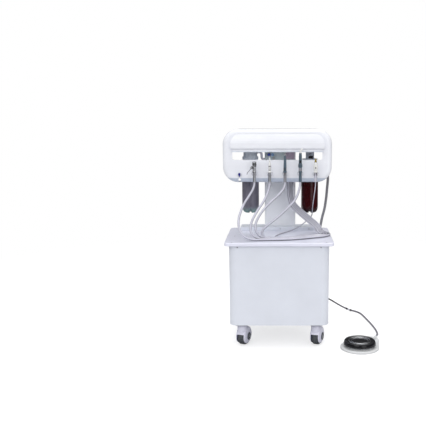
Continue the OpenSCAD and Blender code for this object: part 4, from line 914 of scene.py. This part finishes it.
def make_instrument_details():
    """Rings, knurls and seals on the five instruments."""
    sleeves = {"syringe": "zinc_steel", "motor": "zinc_steel", "scaler": "grey_hose",
               "suction": "slate_handpiece", "curing_light": "clear_hose"}
    for holder, slot in sleeves.items():
        rings("sleeve_" + holder, holder, [(6.4, -26.6, 13.6, 0.28)], slot)
    rings("syringe_grip", "syringe", [(7.5, 18.4, 36, 0.3)], "zinc_steel")
    rings("syringe_seal", "syringe", [(9.3, 46, 48.4, 0.45)], "black_plastic")
    nozzle = at(HOLDER_X["syringe"], HOLDER_Y, CLIP_Z + NOZZLE_ABOVE_CLIP)
    turned_piece("nozzle_seal", [band(5.4, 11.6, 14.2, 0.9)], nozzle, "black_plastic", "syringe",
                 axis=NOZZLE_WAY)
    turned_piece("nozzle_knurl", [band(5.6, 16.6 + k * 0.9, 17.0 + k * 0.9, 0.2) for k in range(4)],
                 nozzle, "plated_brass", "syringe_nozzle", axis=NOZZLE_WAY)
    rings("motor_chuck", "motor", [(5.9, 22.6, 27.0, 0.35), (5.8, 38.2, 43.0, 0.35)],
          "plated_brass")
    rings("motor_grooves", "motor", [(5.2, 23.4, 25.8, 0.95), (5.0, 39.2, 41.8, 1.05),
                                     (6.1, 30.4, 31.4, 0.1), (6.1, 33.4, 34.4, 0.1)],
          "black_plastic")
    rings("motor_nose_ring", "motor", [(3.6, 59.4, 60.6, 0.25)], "plated_brass")
    rings("scaler_grips", "scaler", [(6.55, 18 + 3 * k, 19.4 + 3 * k, 0.28) for k in range(6)],
          "black_plastic")
    rings("scaler_collar", "scaler", [(3.7, 86.4, 88.8, 0.6)], "plated_brass")
    rings("suction_collar", "suction", [(7.4, 20, 33.5, 0.22)], "grey_hose")
    rings("suction_bands", "suction", [(8.95, 39.5, 41, 0.25), (8.95, 45, 46.5, 0.25),
                                       (6.65, 55, 56.4, 0.3), (6.6, 80, 81.2, 0.25)],
          "black_plastic")
    rings("curing_band", "curing_light", [(8.7, 49.4, 51.2, 0.35)], "grey_plastic")
    rings("curing_seal", "curing_light", [(5.3, 57.3, 59, 0.35)], "black_plastic")


# ---------------------------------------------------------------- casters

CORNERS = {"fl": (-158, -155), "fr": (158, -155), "rl": (-158, 155), "rr": (158, 155)}
CASTER_TURN = math.radians(-20)
# A caster in millimetres: the tyre's radius, the axle's way behind the pin, the hood's cheeks
# from the wheel outwards, its radius, how much less it is at the bottom, its hole at the axle,
# and the radius, the top and the middle of the foot of its neck
WHEEL, TRAIL = 37.5, 16.0
CHEEK_IN, CHEEK_RIM, CHEEK_OUT = 15.9, 17.9, 24.0
HOOD, HOOD_CUT, AXLE_HOLE = 41.3, 9.5, 5.3
HOOD_NECK, NECK_TOP, NECK_CORE = 21.0, 93.3, 73.6
TYRE = [(0, -15), (24, -15), (25, -14.2), (29, -14.2), (31.5, -15), (36, -12.5), (WHEEL, -9),
        (WHEEL, 9), (36, 12.5), (31.5, 15), (29, 14.2), (25, 14.2), (24, 15), (0, 15)]
WHEEL_CAP = [(0, 14), (5, 14), (5, 24.3), (15.6, 24.3), (16, 24.8), (16, 25.6), (14, 27.2),
             (0, 27.8)]
HUB_RING = [(9, 27.2), (9.4, 28.1), (10.6, 28.0), (11, 27.0)]
HUB_BOLT = [(0, 29.4), (3.2, 29.4), (4, 28.8), (4, 27.2)]


def round_axle(x, radius, angle):
    """A place at a radius from the axle, and an angle back from straight above it."""
    return at(x, TRAIL + radius * math.sin(angle), WHEEL + radius * math.cos(angle))


def caster_cheek(bm, place, side):
    """A domed side plate: full size above the axle, and clear of the floor below it."""
    shares = (0, 0.2, 0.4, 0.6, 0.75, 0.87, 0.95, 0.99, 1)
    dome = [(share, CHEEK_RIM + (CHEEK_OUT - CHEEK_RIM) * math.sqrt(1 - share * share))
            for share in shares]
    loops = []
    for share, out in [*dome, (1, CHEEK_IN), (0, CHEEK_IN)]:
        loop = []
        for angle in around(72):
            below = ramp(abs(math.remainder(angle, 2 * math.pi)), 1.5, 2.7)
            reach = HOOD - HOOD_CUT * below * below * (3 - 2 * below)
            radius = AXLE_HOLE + (reach - AXLE_HOLE) * share
            loop.append(bm.verts.new(place @ round_axle(side * out, radius, angle)))
        loops.append(loop)
    bridge(bm, [*loops, loops[0]])


def caster_arch(bm, place):
    """The crowned roof over the tyre, down to just above the axle in front and below it behind."""
    section = [(-16.4, 38.8), (-16.4, HOOD), (-8, HOOD + 0.5), (0, HOOD + 0.7), (8, HOOD + 0.5),
               (16.4, HOOD), (16.4, 38.8)]
    steps, start, stop = 40, math.radians(-70), math.radians(104)
    angles = [start + (stop - start) * k / steps for k in range(steps + 1)]
    loops = [[bm.verts.new(place @ round_axle(x, r, angle)) for x, r in section]
             for angle in angles]
    bridge(bm, loops)
    bm.faces.new(loops[0])
    bm.faces.new(loops[-1][::-1])


def caster_neck(bm, place):
    """The round neck, whose foot follows the hood below it."""
    loops = [[], [], []]
    for angle in around(64):
        x, y = HOOD_NECK * math.cos(angle), HOOD_NECK * math.sin(angle)
        side = ramp(abs(x), CHEEK_RIM, CHEEK_OUT)
        r = (HOOD - 1) * math.sqrt(1 - side * side)
        foot = WHEEL + math.sqrt(r * r - (y - TRAIL) ** 2) - 0.6
        for loop, point in zip(loops, ((x, y, foot), (x, y, NECK_TOP - 1),
                                       (x * 0.95, y * 0.95, NECK_TOP))):
            loop.append(bm.verts.new(place @ at(*point)))
    bridge(bm, [[bm.verts.new(place @ at(0, 0, NECK_CORE))], *loops])
    bm.faces.new(loops[-1])


def make_casters():
    """Rounded hoods, wheels with their caps and hub trims, and a seal at each swivel race."""
    swivel = Matrix.Rotation(CASTER_TURN, 4, "Z")
    axis = swivel @ Vector((1, 0, 0))
    for corner, (x, y) in CORNERS.items():
        pin = at(x, y, 0)
        place = Matrix.Translation(pin) @ swivel
        axle = place @ at(0, TRAIL, WHEEL)

        def hood(bm):
            for side in (-1, 1):
                caster_cheek(bm, place, side)
            caster_arch(bm, place)
            caster_neck(bm, place)

        def wheel(bm):
            lathe(bm, TYRE, axle, axis, 96)
            for way in (axis, -axis):
                lathe(bm, WHEEL_CAP, axle, way)

        def hub(bm):
            for way in (axis, -axis):
                lathe(bm, HUB_RING, axle, way, 40)
                lathe(bm, HUB_BOLT, axle, way, 6)

        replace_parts(piece("hood_" + corner, hood, "caster_hood", "caster_" + corner),
                    "caster_hood_" + corner)
        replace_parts(piece("tyre_" + corner, wheel, "wheel_tyre", "wheel_" + corner),
                    "caster_wheel_" + corner)
        piece("hub_trim_" + corner, hub, "zinc_steel", "wheel_" + corner)
        turned_piece("caster_seal_" + corner, [band(20.2, 93.4, 94.3, 0.8)], pin, "black_plastic")


# ---------------------------------------------------------------- foot control

PEDAL = at(342, -192, 0)
DISH = [(0, 11), (8, 11), (8, 29), (60.5, 29), (60.5, 15), (67.4, 15), (68, 16), (68, 21),
        (67.6, 24.5), (66.8, 28), (65.6, 31), (64, 33.4), (62.4, 34.8), (61, 35), (59.6, 34.6),
        (58, 33.9), (52, 33.2), (47, 32.8), (46, 32.4), (45, 32.4), (44, 32.8), (38, 32.2),
        (37, 31.6), (36, 31.6), (35, 32.2), (24, 31.2), (12, 30.6), (0, 30.4)]
DISH_RINGS = [[(44.4, 31.5), (44.4, 33.0), (45.5, 33.8), (46.6, 33.2), (46.6, 31.5)],
              [(35.6, 30.6), (35.6, 32.2), (36.5, 32.9), (37.4, 32.4), (37.4, 30.6)],
              [(67.4, 16.6), (68.15, 17.0), (68.15, 18.0), (67.4, 18.4)]]


def make_pedal_details():
    """The dished disc with its bright rings, rubber feet under the base, and the hose's gland."""
    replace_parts(turned_piece("pedal_dish", [DISH], PEDAL, "pedal_disc", "pedal", steps=120),
                "foot_disc")
    turned_piece("pedal_trim", DISH_RINGS, PEDAL, "plated_brass", "pedal", steps=96)

    def feet(bm):
        for x, y in ((290, -230), (394, -230), (300, -140), (410, -95)):
            lathe(bm, [(0, 0.4), (7, 0.4), (7.6, 1.2), (7.6, 2.4)], at(x, y, 0), steps=32)
    piece("pedal_feet", feet, "black_plastic")
    turned_piece("gland_ring", [band(5.6, -4, -2.2, 0.5)], at(425, -87, 14.5), "grey_plastic",
                 axis=(7, 17, 0))


# ---------------------------------------------------------------- main


def main():
    bpy.context.scene.view_settings.view_transform = "Standard"
    make_camera()
    make_hoses()
    dress_frame()
    make_light()
    make_floor()
    make_hose_ends()
    make_screw_slots()
    make_rail_shadow_strip()
    make_bottles()
    make_cap_details()
    make_valve_details()
    make_instrument_details()
    make_casters()
    make_pedal_details()


main()
